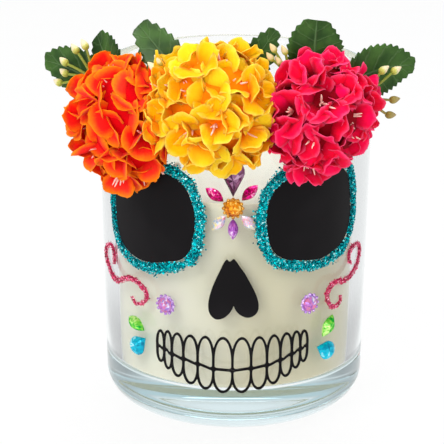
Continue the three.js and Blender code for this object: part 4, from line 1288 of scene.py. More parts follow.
@dataclass
class TeethGrid:
    """Two rows of rounded teeth that share a bite line, as flat outlines."""

    layout: Layout
    line: float = 0.95
    shoulder_share: float = 0.74
    squareness: float = 2.0
    corner: float = 0.75
    samples: int = 41
    wall_shares: tuple[float, ...] = (0, 0.052, 0.108, 0.188, 0.283, 0.384, 0.504, 0.621, 0.722,
                                      0.81, 0.888, 0.948, 1)
    bite_shares: tuple[float, ...] = (0.68, 0.645, 0.577, 0.53, 0.473, 0.41, 0.396, 0.428, 0.464,
                                      0.53, 0.608, 0.667, 0.712)
    upper_shares: tuple[float, ...] = (0.964, 0.977, 0.968, 0.964, 0.97, 0.968, 0.968, 0.973,
                                       0.985, 0.995, 1, 0.99)
    lower_shares: tuple[float, ...] = (0.4, 0.3, 0.2, 0.108, 0.045, 0, 0.005, 0.054, 0.126,
                                       0.225, 0.342, 0.428)

    def walls(self) -> np.ndarray:
        """Middles of the drawn lines between teeth."""
        layout = self.layout
        left = layout.shift + layout.teeth_shift - layout.teeth_width / 2
        return left + np.array(self.wall_shares) * layout.teeth_width

    def heights(self, shares: tuple[float, ...]) -> np.ndarray:
        """Heights of shares of the teeth's height."""
        return self.layout.teeth_foot + np.array(shares) * self.layout.teeth_height

    def arch(self, x: np.ndarray, left: float, right: float, tip: float,
             shoulder: float) -> np.ndarray:
        """Height of a tooth's rounded end over x, on a superellipse from shoulder to tip.

        Points outside the tooth get the shoulder's height.
        """
        t = np.clip(np.abs((x - (left + right) / 2) / ((right - left) / 2)), 0.0, 1.0)
        return shoulder + (tip - shoulder) * (1 - t ** self.squareness) ** 0.5

    def across(self, left: float, right: float, count: int) -> np.ndarray:
        """Places between two sides, closer together near both."""
        return left + (right - left) * (1 - np.cos(np.linspace(0, np.pi, count))) / 2

    def row(self, x: np.ndarray, shares: tuple[float, ...], up: float) -> np.ndarray:
        """Far edge of a row: the farthest of its arches at each x."""
        walls, bite = self.walls(), self.heights(self.bite_shares)
        edges = []
        for i, tip in enumerate(self.heights(shares)):
            middle = (bite[i] + bite[i + 1]) / 2
            shoulder = tip + (middle - tip) * self.shoulder_share
            left, right = walls[i] - self.line / 2, walls[i + 1] + self.line / 2
            inside = (x >= left - 1e-6) & (x <= right + 1e-6)
            edge = self.arch(x, left, right, tip, shoulder)
            edges.append(np.where(inside, edge, middle - up * 100.0))
        return np.max(np.array(edges) * up, axis=0) * up

    def outside(self) -> np.ndarray:
        """Outline of both rows: along the far edge of the upper row and back along the lower."""
        walls = self.walls()
        parts = [self.across(left, right, self.samples)
                 for left, right in zip(walls[:-1] - self.line / 2, walls[1:] + self.line / 2)]
        x = np.unique(np.round(np.concatenate(parts), 4))
        over = beside(x, self.row(x, self.upper_shares, 1.0))
        under = beside(x, self.row(x, self.lower_shares, -1.0))
        return np.concatenate([over, under[::-1]])

    def windows(self) -> list[np.ndarray]:
        """The opening of every tooth: an arch with two rounded corners at the bite line."""
        walls, bite = self.walls(), self.heights(self.bite_shares)
        turn = np.linspace(0.0, np.pi / 2, 6)
        openings = []
        for shares, up in ((self.upper_shares, 1.0), (self.lower_shares, -1.0)):
            for i, end in enumerate(self.heights(shares)):
                left, right = walls[i] + self.line / 2, walls[i + 1] - self.line / 2
                middle = (bite[i] + bite[i + 1]) / 2
                shoulder = end + (middle - end) * self.shoulder_share
                x = self.across(left, right, 29)
                top = self.arch(x, left, right, end - up * self.line, shoulder)
                corner = min(self.corner, (right - left) / 3)
                slope = (bite[i + 1] - bite[i]) / (walls[i + 1] - walls[i])
                base_right, base_left = (bite[i] + slope * (side - walls[i]) + up * self.line / 2
                                         for side in (right, left))
                openings.append(np.concatenate([
                    beside(x, top),
                    beside(right - corner * (1 - np.cos(turn)),
                           base_right + up * corner * (1 - np.sin(turn))),
                    beside(left + corner * (1 - np.sin(turn)),
                           base_left + up * corner * (1 - np.cos(turn)))]))
        return openings


@dataclass
class GlitterLine:
    """A piped line of glue on the wall, crowded with foil flakes."""

    name: str
    node: str
    slot: str
    path: np.ndarray
    closed: bool
    width: float
    bead: GlueBeadFinish
    flakes: GlitterFinish
    flake_count: int
    seed: int
    sideways: float = 0.0
    breaks: tuple[float, ...] = ()
    end_share: float = 0.45
    rise: float = 1.0
    flake_size: float = 0.66
    wall: Wall = WALL

    def widths(self, share: np.ndarray) -> np.ndarray:
        """Half width along the line: lumps of a few slow sines, tapered ends, pinched breaks."""
        phase = self.seed * 1.7
        lumps = 1 + 0.10 * np.sin(share * 41 + phase) + 0.08 * np.sin(share * 97 + 2 * phase)
        if self.closed:
            ends = np.ones_like(share)
        else:
            ends = self.end_share + (1 - self.end_share) * np.sin(np.pi * share) ** 0.7
        pinch = np.ones_like(share)
        for place in self.breaks:
            away = np.abs(share - place)
            if self.closed:
                away = np.minimum(away, 1 - away)
            pinch *= 1 - 0.75 * np.exp(-(away / 0.006) ** 2)
        return self.width / 2 * lumps * ends * pinch

    def sides(self, path: np.ndarray) -> np.ndarray:
        """Unit directions square to the path on the face, to the right of its run."""
        if self.closed:
            ahead = unit(np.roll(path, -1, axis=0) - np.roll(path, 1, axis=0))
        else:
            ahead = unit(np.gradient(path, axis=0))
        return beside(ahead[:, 1], -ahead[:, 0])

    def build(self) -> None:
        """Makes the bead of glue and its flakes as one piece with two finishes."""
        count = len(self.path)
        share = np.arange(count) / count if self.closed else np.linspace(0.0, 1.0, count)
        side = self.sides(self.path)
        middle = self.path + side * self.sideways
        angle = np.linspace(np.pi, 0.0, 9)
        across, up = np.cos(angle), np.sin(angle) ** 0.6
        half = self.widths(share)[:, None] * 0.84
        lumpy = 1 + 0.15 * np.sin(share * 260 + self.seed)[:, None]
        flat = middle[:, None] + side[:, None] * (across * half)[..., None]
        proud = 0.06 + up * self.rise * 0.5 * lumpy * np.minimum(half / (self.width * 0.3), 1.0)
        glue = loft(self.wall.on(flat[..., 0], flat[..., 1], proud), self.closed)
        specks, speck_faces, tags = self.flake_mesh(share, middle, side)
        points, faces = merged([glue, (specks, [speck_faces])])
        tags = np.concatenate([np.zeros((len(glue[0]), 3)), tags])
        piece = write_piece(self.name, points, faces, self.bead.material(), False, {"flake": tags})
        second_finish(piece, self.flakes.material(), sum(len(group) for group in glue[1]))
        fit(piece, self.slot, self.node)

    def flake_mesh(self, share: np.ndarray, middle: np.ndarray,
                   side: np.ndarray) -> tuple[np.ndarray, np.ndarray, np.ndarray]:
        """Flat six-sided flakes, each two shallow pyramids base to base.

        Their places are drawn along the line and across it, denser inside than at the edge,
        and their faces tilt at random from the wall.

        Returns:
            Vertex places, triangles, and the shade and gloss of each vertex.
        """
        draw = np.random.default_rng(self.seed)
        count = self.flake_count
        where = draw.random(count)
        spread = draw.normal(0.0, 0.6, count)
        spread = np.where(np.abs(spread) > 1.25, draw.uniform(-1.05, 1.05, count), spread)
        stray = draw.random(count) < 0.02
        spread = np.where(stray, draw.uniform(-1.7, 1.7, count), spread)
        if self.closed:
            share = np.append(share, 1.0)
            middle, side = np.vstack([middle, middle[:1]]), np.vstack([side, side[:1]])
        at, out = (beside(*(np.interp(where, share, axis) for axis in places.T))
                   for places in (middle, side))
        half = self.widths(where)
        flat = at + out * (spread * half)[:, None]
        dome = np.sqrt(np.clip(1 - np.minimum(np.abs(spread), 1.0) ** 2, 0.0, 1.0))
        proud = 0.12 + dome * self.rise * 0.72 * draw.uniform(0.75, 1.25, count)
        centre = self.wall.on(flat[:, 0], flat[:, 1], proud)
        angle = flat[:, 0] / self.wall.middle_radius
        facing = beside(np.sin(angle), -np.cos(angle), 0.0)
        facing = unit(facing + draw.normal(0.0, 0.5, (count, 3)))
        first = unit(np.cross(facing, draw.normal(size=(count, 3))))
        second = np.cross(facing, first)
        size = self.flake_size / 2 * draw.uniform(0.6, 1.35, count)
        sides = 6
        turn = turns(sides)[None, :, None]
        rim = centre[:, None] + size[:, None, None] * (np.cos(turn) * first[:, None]
                                                       + np.sin(turn) * second[:, None])
        thick = 0.05
        poles = np.stack([centre + facing * thick, centre - facing * thick], axis=1)
        points = np.concatenate([rim, poles], axis=1)
        j = np.arange(sides)
        k = (j + 1) % sides
        one = np.concatenate([beside(j, k, sides), beside(k, j, sides + 1)])
        faces = (one[None] + (np.arange(count) * (sides + 2))[:, None, None]).reshape(-1, 3)
        # Random shades: the highest reach the pale top of the ramp, a painted glint.
        tags = beside(draw.random(count) ** 1.15, draw.random(count), 0.0)
        return points.reshape(-1, 3), faces, np.repeat(tags, sides + 2, axis=0)


@dataclass
class Stone:
    """A flat-backed faceted stone."""

    cut: StoneCut
    length: float
    width: float
    height: float = 2.4
    edge: float = 0.5
    table_share: float = 0.5
    crown_share: float = 0.82
    crown_rise: float = 0.62

    def outline(self) -> np.ndarray:
        """Outline round the stone's middle, its long way along Y, and a drop's point at -Y."""
        if self.cut is StoneCut.ROUND:
            angle = turns(16)
            return self.length / 2 * beside(np.cos(angle), np.sin(angle))
        if self.cut is StoneCut.NAVETTE:
            s = np.linspace(0.0, 1.0, 9)[:-1]
            bow = self.width / 2 * np.sin(np.pi * s) ** 0.85
            one = beside(bow, self.length * (s - 0.5))
            return np.concatenate([one, -one])
        radius = self.width / 2
        centre = self.length / 2 - radius
        rise = math.asin(radius / (self.length - radius))
        angle = -rise + np.linspace(0.0, 1.0, 13) * (np.pi + 2 * rise)
        arc = beside(radius * np.cos(angle), centre + radius * np.sin(angle))
        tip = np.array([0.0, -self.length / 2])
        flank = np.linspace(0.0, 1.0, 4)[1:-1, None]
        return np.concatenate([[tip], tip + (arc[0] - tip) * flank, arc,
                               arc[-1] + (tip - arc[-1]) * flank])

    def mesh(self, seed: int) -> tuple[np.ndarray, Faces, np.ndarray]:
        """Facets in three belts, each triangle with vertices of its own.

        The girdle stands on the back. Kites climb from it to the crown, a smaller ring half a
        step round, and on to the table. Each facet gets a painted reflection as a shade: it
        follows the facet's turn round the stone, lighter on one side, with a random part.

        Args:
            seed: Seed of the random part.

        Returns:
            Places with the back at Z = 0, faces, and the facet tag of each vertex.
        """
        base = self.outline()
        count = len(base)
        half_step = (base + np.roll(base, -1, axis=0)) / 2
        levels = [(base, 1.0, 0.0), (base, 1.0, self.edge),
                  (half_step, self.crown_share, self.height * self.crown_rise),
                  (base, self.table_share, self.height)]
        rings = [np.column_stack([ring * share, np.full(count, z)]) for ring, share, z in levels]
        j = np.arange(count)
        k = (j + 1) % count
        back, girdle, crown, table = rings
        middle_back = np.zeros((count, 3))
        middle_table = np.tile([0.0, 0.0, self.height], (count, 1))
        triangles = np.concatenate([np.stack(corners, axis=1) for corners in (
            (middle_back, back[k], back[j]), (back[j], back[k], girdle[k]),
            (back[j], girdle[k], girdle[j]), (girdle[j], girdle[k], crown[j]),
            (girdle[k], crown[k], crown[j]), (crown[j], crown[k], table[k]),
            (crown[j], table[k], table[j]), (table[j], table[k], middle_table))])
        draw = np.random.default_rng(seed)
        centre = triangles.mean(axis=1)
        turn = np.arctan2(centre[:, 1], centre[:, 0])
        # Painted reflection: each facet is lighter or darker by its turn round the stone, plus a
        # random part; the table's facets alternate lighter and darker.
        shade = 0.5 + 0.22 * np.sin(turn + 0.9) + draw.uniform(-0.28, 0.28, len(triangles))
        shade[-count:] += 0.12 * np.sign(np.sin(2.5 * turn[-count:]))
        tag = beside(shade, 0.0, 0.0)
        return (triangles.reshape(-1, 3), [np.arange(len(triangles) * 3).reshape(-1, 3)],
                np.repeat(tag, 3, axis=0))


def set_on_wall(points: np.ndarray, along: float, z: float, turn: float,
                proud: float = 0.05) -> np.ndarray:
    """Carries places drawn in XY, back at Z = 0, to a seat on the wall after a turn.

    Args:
        points: Places.
        along: Arc length of the seat.
        z: Height of the seat.
        turn: Degrees anticlockwise as the face is seen.
        proud: Distance of the back off the wall.

    Returns:
        The places on the wall.
    """
    angle = math.radians(turn)
    spin = np.array([[math.cos(angle), math.sin(angle), 0.0],
                     [-math.sin(angle), math.cos(angle), 0.0], [0.0, 0.0, 1.0]])
    origin, axes = WALL.frame(along, z, proud)
    return origin + points @ spin @ axes


@dataclass
class Stones:
    """All the flat-backed stones of the forehead and cheeks."""

    layout: Layout
    seat_gap: float = 0.3
    spray_reach: float = 3.7
    rosette_radius: float = 3.95
    bead_count: int = 12
    bead_radius: float = 0.62

    def finishes(self) -> dict[str, Material]:
        """Materials by colour, darkest shade first: stops run from painted shade to painted
        highlight.
        """
        table = {
            "gold": ((0.0, (120, 50, 0)), (0.35, (214, 110, 8)), (0.65, (244, 168, 30)),
                     (0.92, (255, 226, 120))),
            "gold_bead": ((0.0, (120, 70, 8)), (0.5, (206, 140, 36)), (1.0, (250, 214, 120))),
            "amethyst": ((0.0, (44, 20, 36)), (0.4, (92, 50, 80)), (0.7, (146, 98, 136)),
                         (0.95, (200, 164, 194))),
            "magenta": ((0.0, (96, 0, 36)), (0.35, (176, 0, 84)), (0.62, (232, 0, 136)),
                        (0.8, (244, 50, 150)), (0.97, (255, 206, 232))),
            "iridescent": ((0.0, (214, 110, 150)), (0.25, (250, 190, 210)), (0.45, (236, 232, 240)),
                           (0.6, (150, 190, 232)), (0.75, (248, 224, 130)),
                           (0.95, (255, 250, 250))),
            "lavender": ((0.0, (96, 30, 120)), (0.4, (160, 76, 178)), (0.7, (196, 124, 208)),
                         (0.95, (240, 214, 246))),
            "lilac": ((0.0, (120, 76, 160)), (0.3, (206, 120, 200)), (0.5, (228, 130, 150)),
                      (0.7, (150, 120, 214)), (0.95, (246, 236, 252))),
            "lilac_bead": ((0.0, (120, 84, 170)), (0.5, (190, 140, 220)), (1.0, (250, 236, 252))),
            "green": ((0.0, (0, 110, 30)), (0.35, (14, 182, 48)), (0.6, (128, 214, 70)),
                      (0.95, (206, 246, 150))),
            "blue": ((0.0, (0, 116, 150)), (0.35, (0, 172, 204)), (0.74, (0, 204, 228)),
                     (0.97, (180, 236, 246)))}
        return {name: StoneFinish(f"stone_{name}", shades(*stops)).material()
                for name, stops in table.items()}

    def place(self, name: str, colour: str, stone: Stone, seat: tuple[float, float, float],
              seed: int) -> None:
        """Sets one stone on the wall as a piece of its own, for the node of that name."""
        points, faces, tag = stone.mesh(seed)
        piece = write_piece(f"{name}_stone", set_on_wall(points, *seat), faces,
                            self.finish[colour], False, {"facet": tag})
        fit(piece, f"{colour}_stone", name)

    def rosette(self, name: str, colour: str, seat: tuple[float, float, float], seed: int) -> None:
        """Round stone in a cup with a rim of beads, each bead a ball of rings."""
        points, faces, tag = Stone(StoneCut.ROUND, 5.5, 5.5, height=2.3, edge=0.9).mesh(seed)
        points[:, 2] += 0.5
        radius = self.rosette_radius
        cup = revolve(np.array([
            [0.0, 0.0], [radius - 0.75, 0.0], [radius - 0.55, 0.4], [radius - 0.95, 0.9],
            [2.4, 0.75], [0.0, 0.7]]), 36)
        angle = np.linspace(0.0, np.pi, 7)
        ball = self.bead_radius * beside(np.sin(angle), -np.cos(angle))
        ball[0, 0] = ball[-1, 0] = 0.0
        bead, bead_faces = revolve(ball, 10)
        reach = radius - self.bead_radius
        lift = self.bead_radius + 0.15
        rim = merged([cup, *((bead + [reach * np.cos(turn), reach * np.sin(turn), lift], bead_faces)
                             for turn in turns(self.bead_count))])
        # Painted glints: each vertex of the cup and beads takes a random shade, up to the pale top
        # of its ramp.
        painted_glint = np.random.default_rng(seed).uniform(0.1, 1.0, len(rim[0]))
        tags = np.concatenate([tag, beside(painted_glint, 0.0, 0.0)])
        joint, groups = merged([(points, faces), rim])
        piece = write_piece(f"{name}_stone", set_on_wall(joint, *seat), groups,
                            self.finish[colour], False, {"facet": tags})
        second_finish(piece, self.finish[f"{colour}_bead"], len(faces[0]))
        fit(piece, f"{colour}_stone", name)

    def build(self) -> None:
        """Sets the spray round its rosette and the three stones of each cheek."""
        self.finish = self.finishes()
        along, z = self.layout.spray()
        self.rosette("forehead_rosette", "gold", (along, z, 0.0), 3)
        spray = (("drop", "amethyst", StoneCut.DROP, 13.0, 8.0, 90.0),
                 ("magenta_left", "magenta", StoneCut.NAVETTE, 7.7, 4.0, 144.0),
                 ("magenta_right", "magenta", StoneCut.NAVETTE, 7.7, 4.0, 44.0),
                 ("clear_left", "iridescent", StoneCut.NAVETTE, 7.0, 3.8, 229.0),
                 ("clear_right", "iridescent", StoneCut.NAVETTE, 7.0, 3.8, -46.0),
                 ("lavender", "lavender", StoneCut.NAVETTE, 7.6, 3.7, -90.0))
        for seed, (name, colour, cut, length, width, angle) in enumerate(spray, start=10):
            reach = self.spray_reach + self.seat_gap + length / 2
            seat = (along + reach * math.cos(math.radians(angle)),
                    z + reach * math.sin(math.radians(angle)), angle - 90)
            self.place(f"forehead_{name}", colour, Stone(cut, length, width), seat, seed)
        self.cheek(Side.LEFT, (4.7, 9.3), (10.1, 1.2, -24.5), (9.2, 9.0, 42.0))
        self.cheek(Side.RIGHT, (4.4, 9.6), (9.2, 1.1, 57.0), (8.4, 10.1, 26.0))

    def cheek(self, side: Side, lilac: tuple[float, float], green: tuple[float, float, float],
              blue: tuple[float, float, float]) -> None:
        """Sets one cheek's stones.

        Args:
            side: Which cheek.
            lilac: Gap to the scroll and height above the teeth of the round stone.
            green: Distance out from the teeth, down from their top, and turn of the green one.
            blue: The same of the blue one.
        """
        layout, label, way = self.layout, side.name.lower(), side.value
        edge = layout.shift + way * layout.teeth_width / 2
        scroll = layout.swirl(side)
        inner = scroll.along - way * scroll.width / 2
        round_at = inner - way * (lilac[0] + self.rosette_radius)
        self.rosette(f"cheek_lilac_{label}", "lilac",
                     (round_at, layout.teeth_top + lilac[1], 0.0), 30 + way)
        for colour, stone, (out, down, _), turn, seed in (
                ("green", Stone(StoneCut.NAVETTE, 8.6, 4.6), green, 90 + green[2], 40),
                ("blue", Stone(StoneCut.DROP, 9.4, 7.0), blue, -way * (90 + blue[2]), 50)):
            self.place(f"cheek_{colour}_{label}", colour, stone,
                       (edge + way * out, layout.teeth_top - down, turn), seed + way)


# The crown: flower heads, leaves, sprigs and glue


@dataclass(frozen=True)
class Seat:
    """Where a flower head is glued on the rim, and the axes that its leaves share."""

    name: str
    arc_length: float
    drop: float
    half_width: float
    half_height: float
    depth: float
    standoff: float = 3.2
    wall: Wall = WALL

    def axes(self) -> np.ndarray:
        """Rows across, up and out."""
        azimuth = self.arc_length / self.wall.rim_radius
        return np.array([[math.cos(azimuth), math.sin(azimuth), 0.0], [0.0, 0.0, 1.0],
                         [math.sin(azimuth), -math.cos(azimuth), 0.0]])

    @property
    def centre_height(self) -> float:
        """Height of the head's middle."""
        return self.wall.height - self.drop

    @property
    def seat_height(self) -> float:
        """Height of the glue, from which leaves and sprigs leave."""
        return min(self.centre_height, self.wall.height - 7.0)

    def at(self, places: np.ndarray, height: float) -> np.ndarray:
        """Carries (across, up, layer) places to the scene, from a height on the rim."""
        axes = self.axes()
        return np.asarray(places) @ axes + axes[2] * self.wall.rim_radius + [0.0, 0.0, height]


def aimed(direction: np.ndarray, spin: np.ndarray) -> tuple[np.ndarray, np.ndarray, np.ndarray]:
    """Axes with the third along each direction, turned about it by a spin."""
    aid = np.where(np.abs(direction[:, 1:2]) > 0.9, [[1.0, 0.0, 0.0]], [[0.0, 1.0, 0.0]])
    first = unit(np.cross(aid, direction))
    second = np.cross(direction, first)
    cos, sin = np.cos(spin)[:, None], np.sin(spin)[:, None]
    return first * cos + second * sin, second * cos - first * sin, direction


@dataclass
class FlowerHead:
    """Ball of fabric florets over a moulded core, pressed on its neighbours."""

    seat: Seat
    finish: PetalFinish
    seed: int
    neighbours: tuple[Seat, ...] = ()
    petals: int = 5
    florets_count: int = 34
    petal_length: float = 10.5
    petal_width: float = 11.0
    reach: float = 3.6
    upright_share: float = 0.3
    overlap: float = 2.5
    ruffle: float = 0.35
    rumple: float = 0.14
    thickness: float = 0.2
    rows: int = 15
    columns: int = 13
    lean_steps: int = 60
    widest: float = 0.66
    sunk: float = 1.5

    def florets(self, draw: np.random.Generator) -> tuple[np.ndarray, np.ndarray]:
        """Places and outward directions of the florets, on a golden spiral over the dome."""
        seat = self.seat
        half = np.array([seat.half_width, seat.half_height - 2.2,
                         seat.depth - seat.standoff + 1]) - self.reach
        index = np.arange(self.florets_count) + 0.5
        polar = np.arccos(1 - 1.32 * index / self.florets_count) + draw.normal(0, 0.04, len(index))
        clock = index * GOLDEN_ANGLE + self.seed + draw.normal(0, 0.1, len(index))
        way = beside(np.sin(polar) * np.cos(clock), np.sin(polar) * np.sin(clock), np.cos(polar))
        return way * half * draw.uniform(0.8, 1.03, (len(way), 1)), unit(way / half)

    def pressed(self, points: np.ndarray) -> np.ndarray:
        """Keeps places off the wall and off the neighbours' side, easing them to a stop."""
        seat = self.seat
        out = seat.axes()[2]
        layer = points @ out - seat.wall.rim_radius
        points = points + (eased(layer, seat.standoff + 0.1, 2.5) - layer)[..., None] * out
        start = seat.at([0.0, 0.0, seat.standoff], seat.centre_height)
        for other in self.neighbours:
            end = other.at([0.0, 0.0, other.standoff], other.centre_height)
            share = seat.half_width / (seat.half_width + other.half_width)
            way = unit((end - start) * [1.0, 1.0, 0.0])
            beyond = (points - (start + (end - start) * share)) @ way - self.overlap
            points = points - (eased(-beyond, 0.0, 2.2) + beyond)[..., None] * way
        return points

    def build(self) -> None:
        """Makes the petals with the core as one piece, and the stamens as another."""
        draw = np.random.default_rng(self.seed)
        origin, way = self.florets(draw)
        count = len(origin) * self.petals
        which = np.repeat(np.arange(len(origin)), self.petals)
        turn = np.tile(turns(self.petals), len(origin))
        turn += np.repeat(draw.uniform(0, 2 * np.pi, len(origin)), self.petals)
        turn += draw.normal(0.0, 0.13, count)
        radial, tangent, normal = aimed(way[which], turn)
        rows, columns = self.rows, self.columns
        s = np.linspace(0.0, 1.0, rows)[None, :, None]
        v = np.linspace(-1.0, 1.0, columns)[None, None, :]

        def each(low: float, high: float) -> np.ndarray:
            """One draw for each petal, shaped to spread over its grid."""
            return draw.uniform(low, high, count)[:, None, None]

        length = self.petal_length * each(0.84, 1.14)
        half = self.petal_width / 2 * each(0.86, 1.12)
        upright = each(0, 1) < self.upright_share
        high_lean = np.radians(np.where(upright, each(12, 52), each(54, 104)))
        low_lean = high_lean * each(0.35, 0.9)
        cup, curl, phase, power = each(-0.35, 0.3), each(-0.2, 0.75), each(0, 6.28), each(0.8, 1.8)
        twist = each(-0.3, 0.3)
        fray = draw.normal(0.0, 0.022, (count, rows, columns)) * (np.maximum(s, np.abs(v)) == 1.0)
        t = s * (1 - 0.5 * (1 - np.sqrt(1 - 0.97 * v ** 2)) * s ** 2) * (1 - np.abs(fray) * s)
        fine = np.linspace(0.0, 1.0, self.lean_steps)
        lean = (low_lean + (high_lean - low_lean) * fine ** power
                + curl * smooth(0.55, 1.0, fine))[:, 0]
        ahead, rise, angle = (looked_up(table, t) for table in (
            travelled(np.sin(lean)), travelled(np.cos(lean)), lean))
        widest = self.widest
        swell = np.where(t < widest, 0.12 + 0.88 * np.sin(np.pi / 2 * t / widest) ** 1.15,
                         1 - 0.22 * ((t - widest) / 0.34) ** 2) * (1 + fray)
        frill = self.ruffle * t ** 2 * (np.sin(3.1 * v + phase)
                                        + 0.6 * np.sin(6.3 * v + 2 * phase + 3 * t))
        rumple = (self.rumple * t * np.sin(1.7 * length * t + phase)
                  * np.sin(1.3 * half * v + 2 * phase))
        lift = half * swell * (cup * v ** 2 * (0.4 + 0.6 * t) + twist * v * t) + frill + rumple
        depth = -np.cos(angle) * lift
        radial, tangent, normal, middle = (axis[:, None, None] for axis in (
            radial, tangent, normal, origin[which]))
        points = (middle + (0.5 + length * ahead + depth)[..., None] * radial
                  + (half * swell * v)[..., None] * tangent
                  + (length * rise + np.sin(angle) * lift)[..., None] * normal)
        points -= way[which][:, None, None] * self.sunk
        petals = shells(self.pressed(self.seat.at(points, self.seat.centre_height)), self.thickness)
        edge = np.minimum((1 - np.abs(v)) * half * swell, (1 - t) * length * 1.1)
        edge = np.minimum(edge, (1 - s) * length * 0.9)
        # Tone sets the painted crest highlight: a random share per petal plus a rise on the petal's
        # middle towards its tip.
        tone = np.clip(each(0.0, 0.75) + 0.35 * np.cos(1.2 * v) * t, 0, 1)
        core = self.core()
        # The core takes the heart's colour, part dye and part painted shade, and no rim.
        blank = np.tile([0.04, 5.0, 0.0], (len(core[0]), 1))
        cloth = beside(t * length, v * half * swell, which[:, None, None] * 1.0)
        tags = {name: np.concatenate([np.repeat(tag[:, None], 2, axis=1).reshape(-1, 3), blank])
                for name, tag in (("petal", beside(t, edge, tone)), ("cloth", cloth))}
        points, faces = merged([petals, core])
        name = self.seat.name
        piece = write_piece(f"petals_{name}", points, faces, self.finish.material(), True, tags)
        fit(piece, f"{name}_petals", f"flower_{name}")
        self.stamens(origin, way, draw)

    def core(self) -> Mesh:
        """Half ball under the florets, flat at the back."""
        seat = self.seat
        angle = np.linspace(0.0, np.pi / 2, 9)
        profile = np.concatenate([[(0.0, 0.0)], beside(np.cos(angle), np.sin(angle))])
        profile[-1, 0] = 0.0
        points, faces = revolve(profile, 30)
        points = points * (np.array([seat.half_width, seat.half_height, seat.depth - seat.standoff])
                           - self.reach - 2.2)
        points[:, 2] += seat.standoff + 0.1
        return self.pressed(seat.at(points, seat.centre_height)), faces

    def stamens(self, origin: np.ndarray, way: np.ndarray, draw: np.random.Generator) -> None:
        """Tapered strands that stand in each floret's heart."""
        parts = []
        for place, direction in zip(origin[::2], way[::2]):
            for _ in range(5):
                lean = unit(direction + draw.normal(0.0, 0.3, 3))
                bend = draw.normal(0.0, 0.5, 3)
                along = np.linspace(0.0, 1.0, 5)[:, None]
                path = (place - direction * self.sunk + lean * along * draw.uniform(4.5, 8.0)
                        + bend * along ** 2)
                path = self.pressed(self.seat.at(path, self.seat.centre_height))
                parts.append(tube(path, np.array([0.3, 0.36, 0.42, 0.36, 0.15]), 5))
        name = self.seat.name
        fit(write_piece(f"stamens_{name}", *merged(parts), StamenFinish().material()),
            f"{name}_petals")


@dataclass
class Leaf:
    """Serrated cloth leaf on a stalk."""

    name: str
    seat: Seat
    clock: float
    bend: float
    reach: float
    width: float
    curl: float
    teeth: int = 11
    blunt: float = 1.0
    layer: float = 0.75
    thickness: float = 0.5
    camber: float = 0.5
    stalk_width: float = 1.6
    stalk_length: float = 8.0
    start: float = 6.3
    notch: float = 1.15
    stations: int = 181

    def build(self, material: Material) -> None:
        """Lays the blade along a bent midrib as a thin cambered sheet.

        The half width is the stalk's, plus a swell of sin(pi b^0.8)^0.7 with b the blade share
        times blunt, less a saw that leans to the tip. The layer falls or climbs as the share
        squared.

        Args:
            material: Finish of the leaf.
        """
        stations, start = self.stations, self.start
        length = self.reach - start
        share = np.linspace(0.0, 1.0, stations)
        heading = np.radians(self.clock + self.bend * share)
        step = length / (stations - 1)
        along, rise = (start * first + np.append(0.0, np.cumsum(way[1:])) * step for first, way in (
            (math.cos(math.radians(self.clock)), np.cos(heading)),
            (math.sin(math.radians(self.clock)), np.sin(heading))))
        blade = (share * length - self.stalk_length) / (length - self.stalk_length)
        blade = np.clip(blade, 0.0, 1.0)
        swell = (self.width / 2 - self.stalk_width / 2) * np.sin(
            np.pi * (blade * self.blunt) ** 0.8) ** 0.7
        saw, peak = (blade * self.teeth) % 1.0, 0.78
        bite = self.notch * smooth(0.0, 0.2, blade) * np.where(
            saw < peak, 1 - saw / peak, (saw - peak) / 0.22)
        half = self.stalk_width / 2 + np.maximum(swell - bite, 0.0)
        v = np.linspace(-1.0, 1.0, 15)[None]
        lift = self.camber * v ** 2 * np.minimum(2 * half / self.width, 1.0)[:, None]
        lift = lift + 0.28 * np.sin(share * 19 + 1.3)[:, None] * np.abs(v) ** 1.5 * blade[:, None]
        layer = (self.layer + self.curl * share ** 2)[:, None] + lift
        places = beside(along[:, None] - np.sin(heading)[:, None] * half[:, None] * v,
                        rise[:, None] + np.cos(heading)[:, None] * half[:, None] * v, layer)
        points, faces = shells(self.seat.at(places, self.seat.seat_height)[None], self.thickness)
        cloth = beside((share * length)[:, None], half[:, None] * v, 0.0)
        tags = {name: np.tile(tag.reshape(-1, 3), (2, 1))
                for name, tag in (("blade", beside(blade[:, None], v, 0.0)), ("cloth", cloth))}
        piece = write_piece(self.name.replace("leaf", "satin"), points, faces, material, True, tags)
        fit(piece, "leaf", self.name)


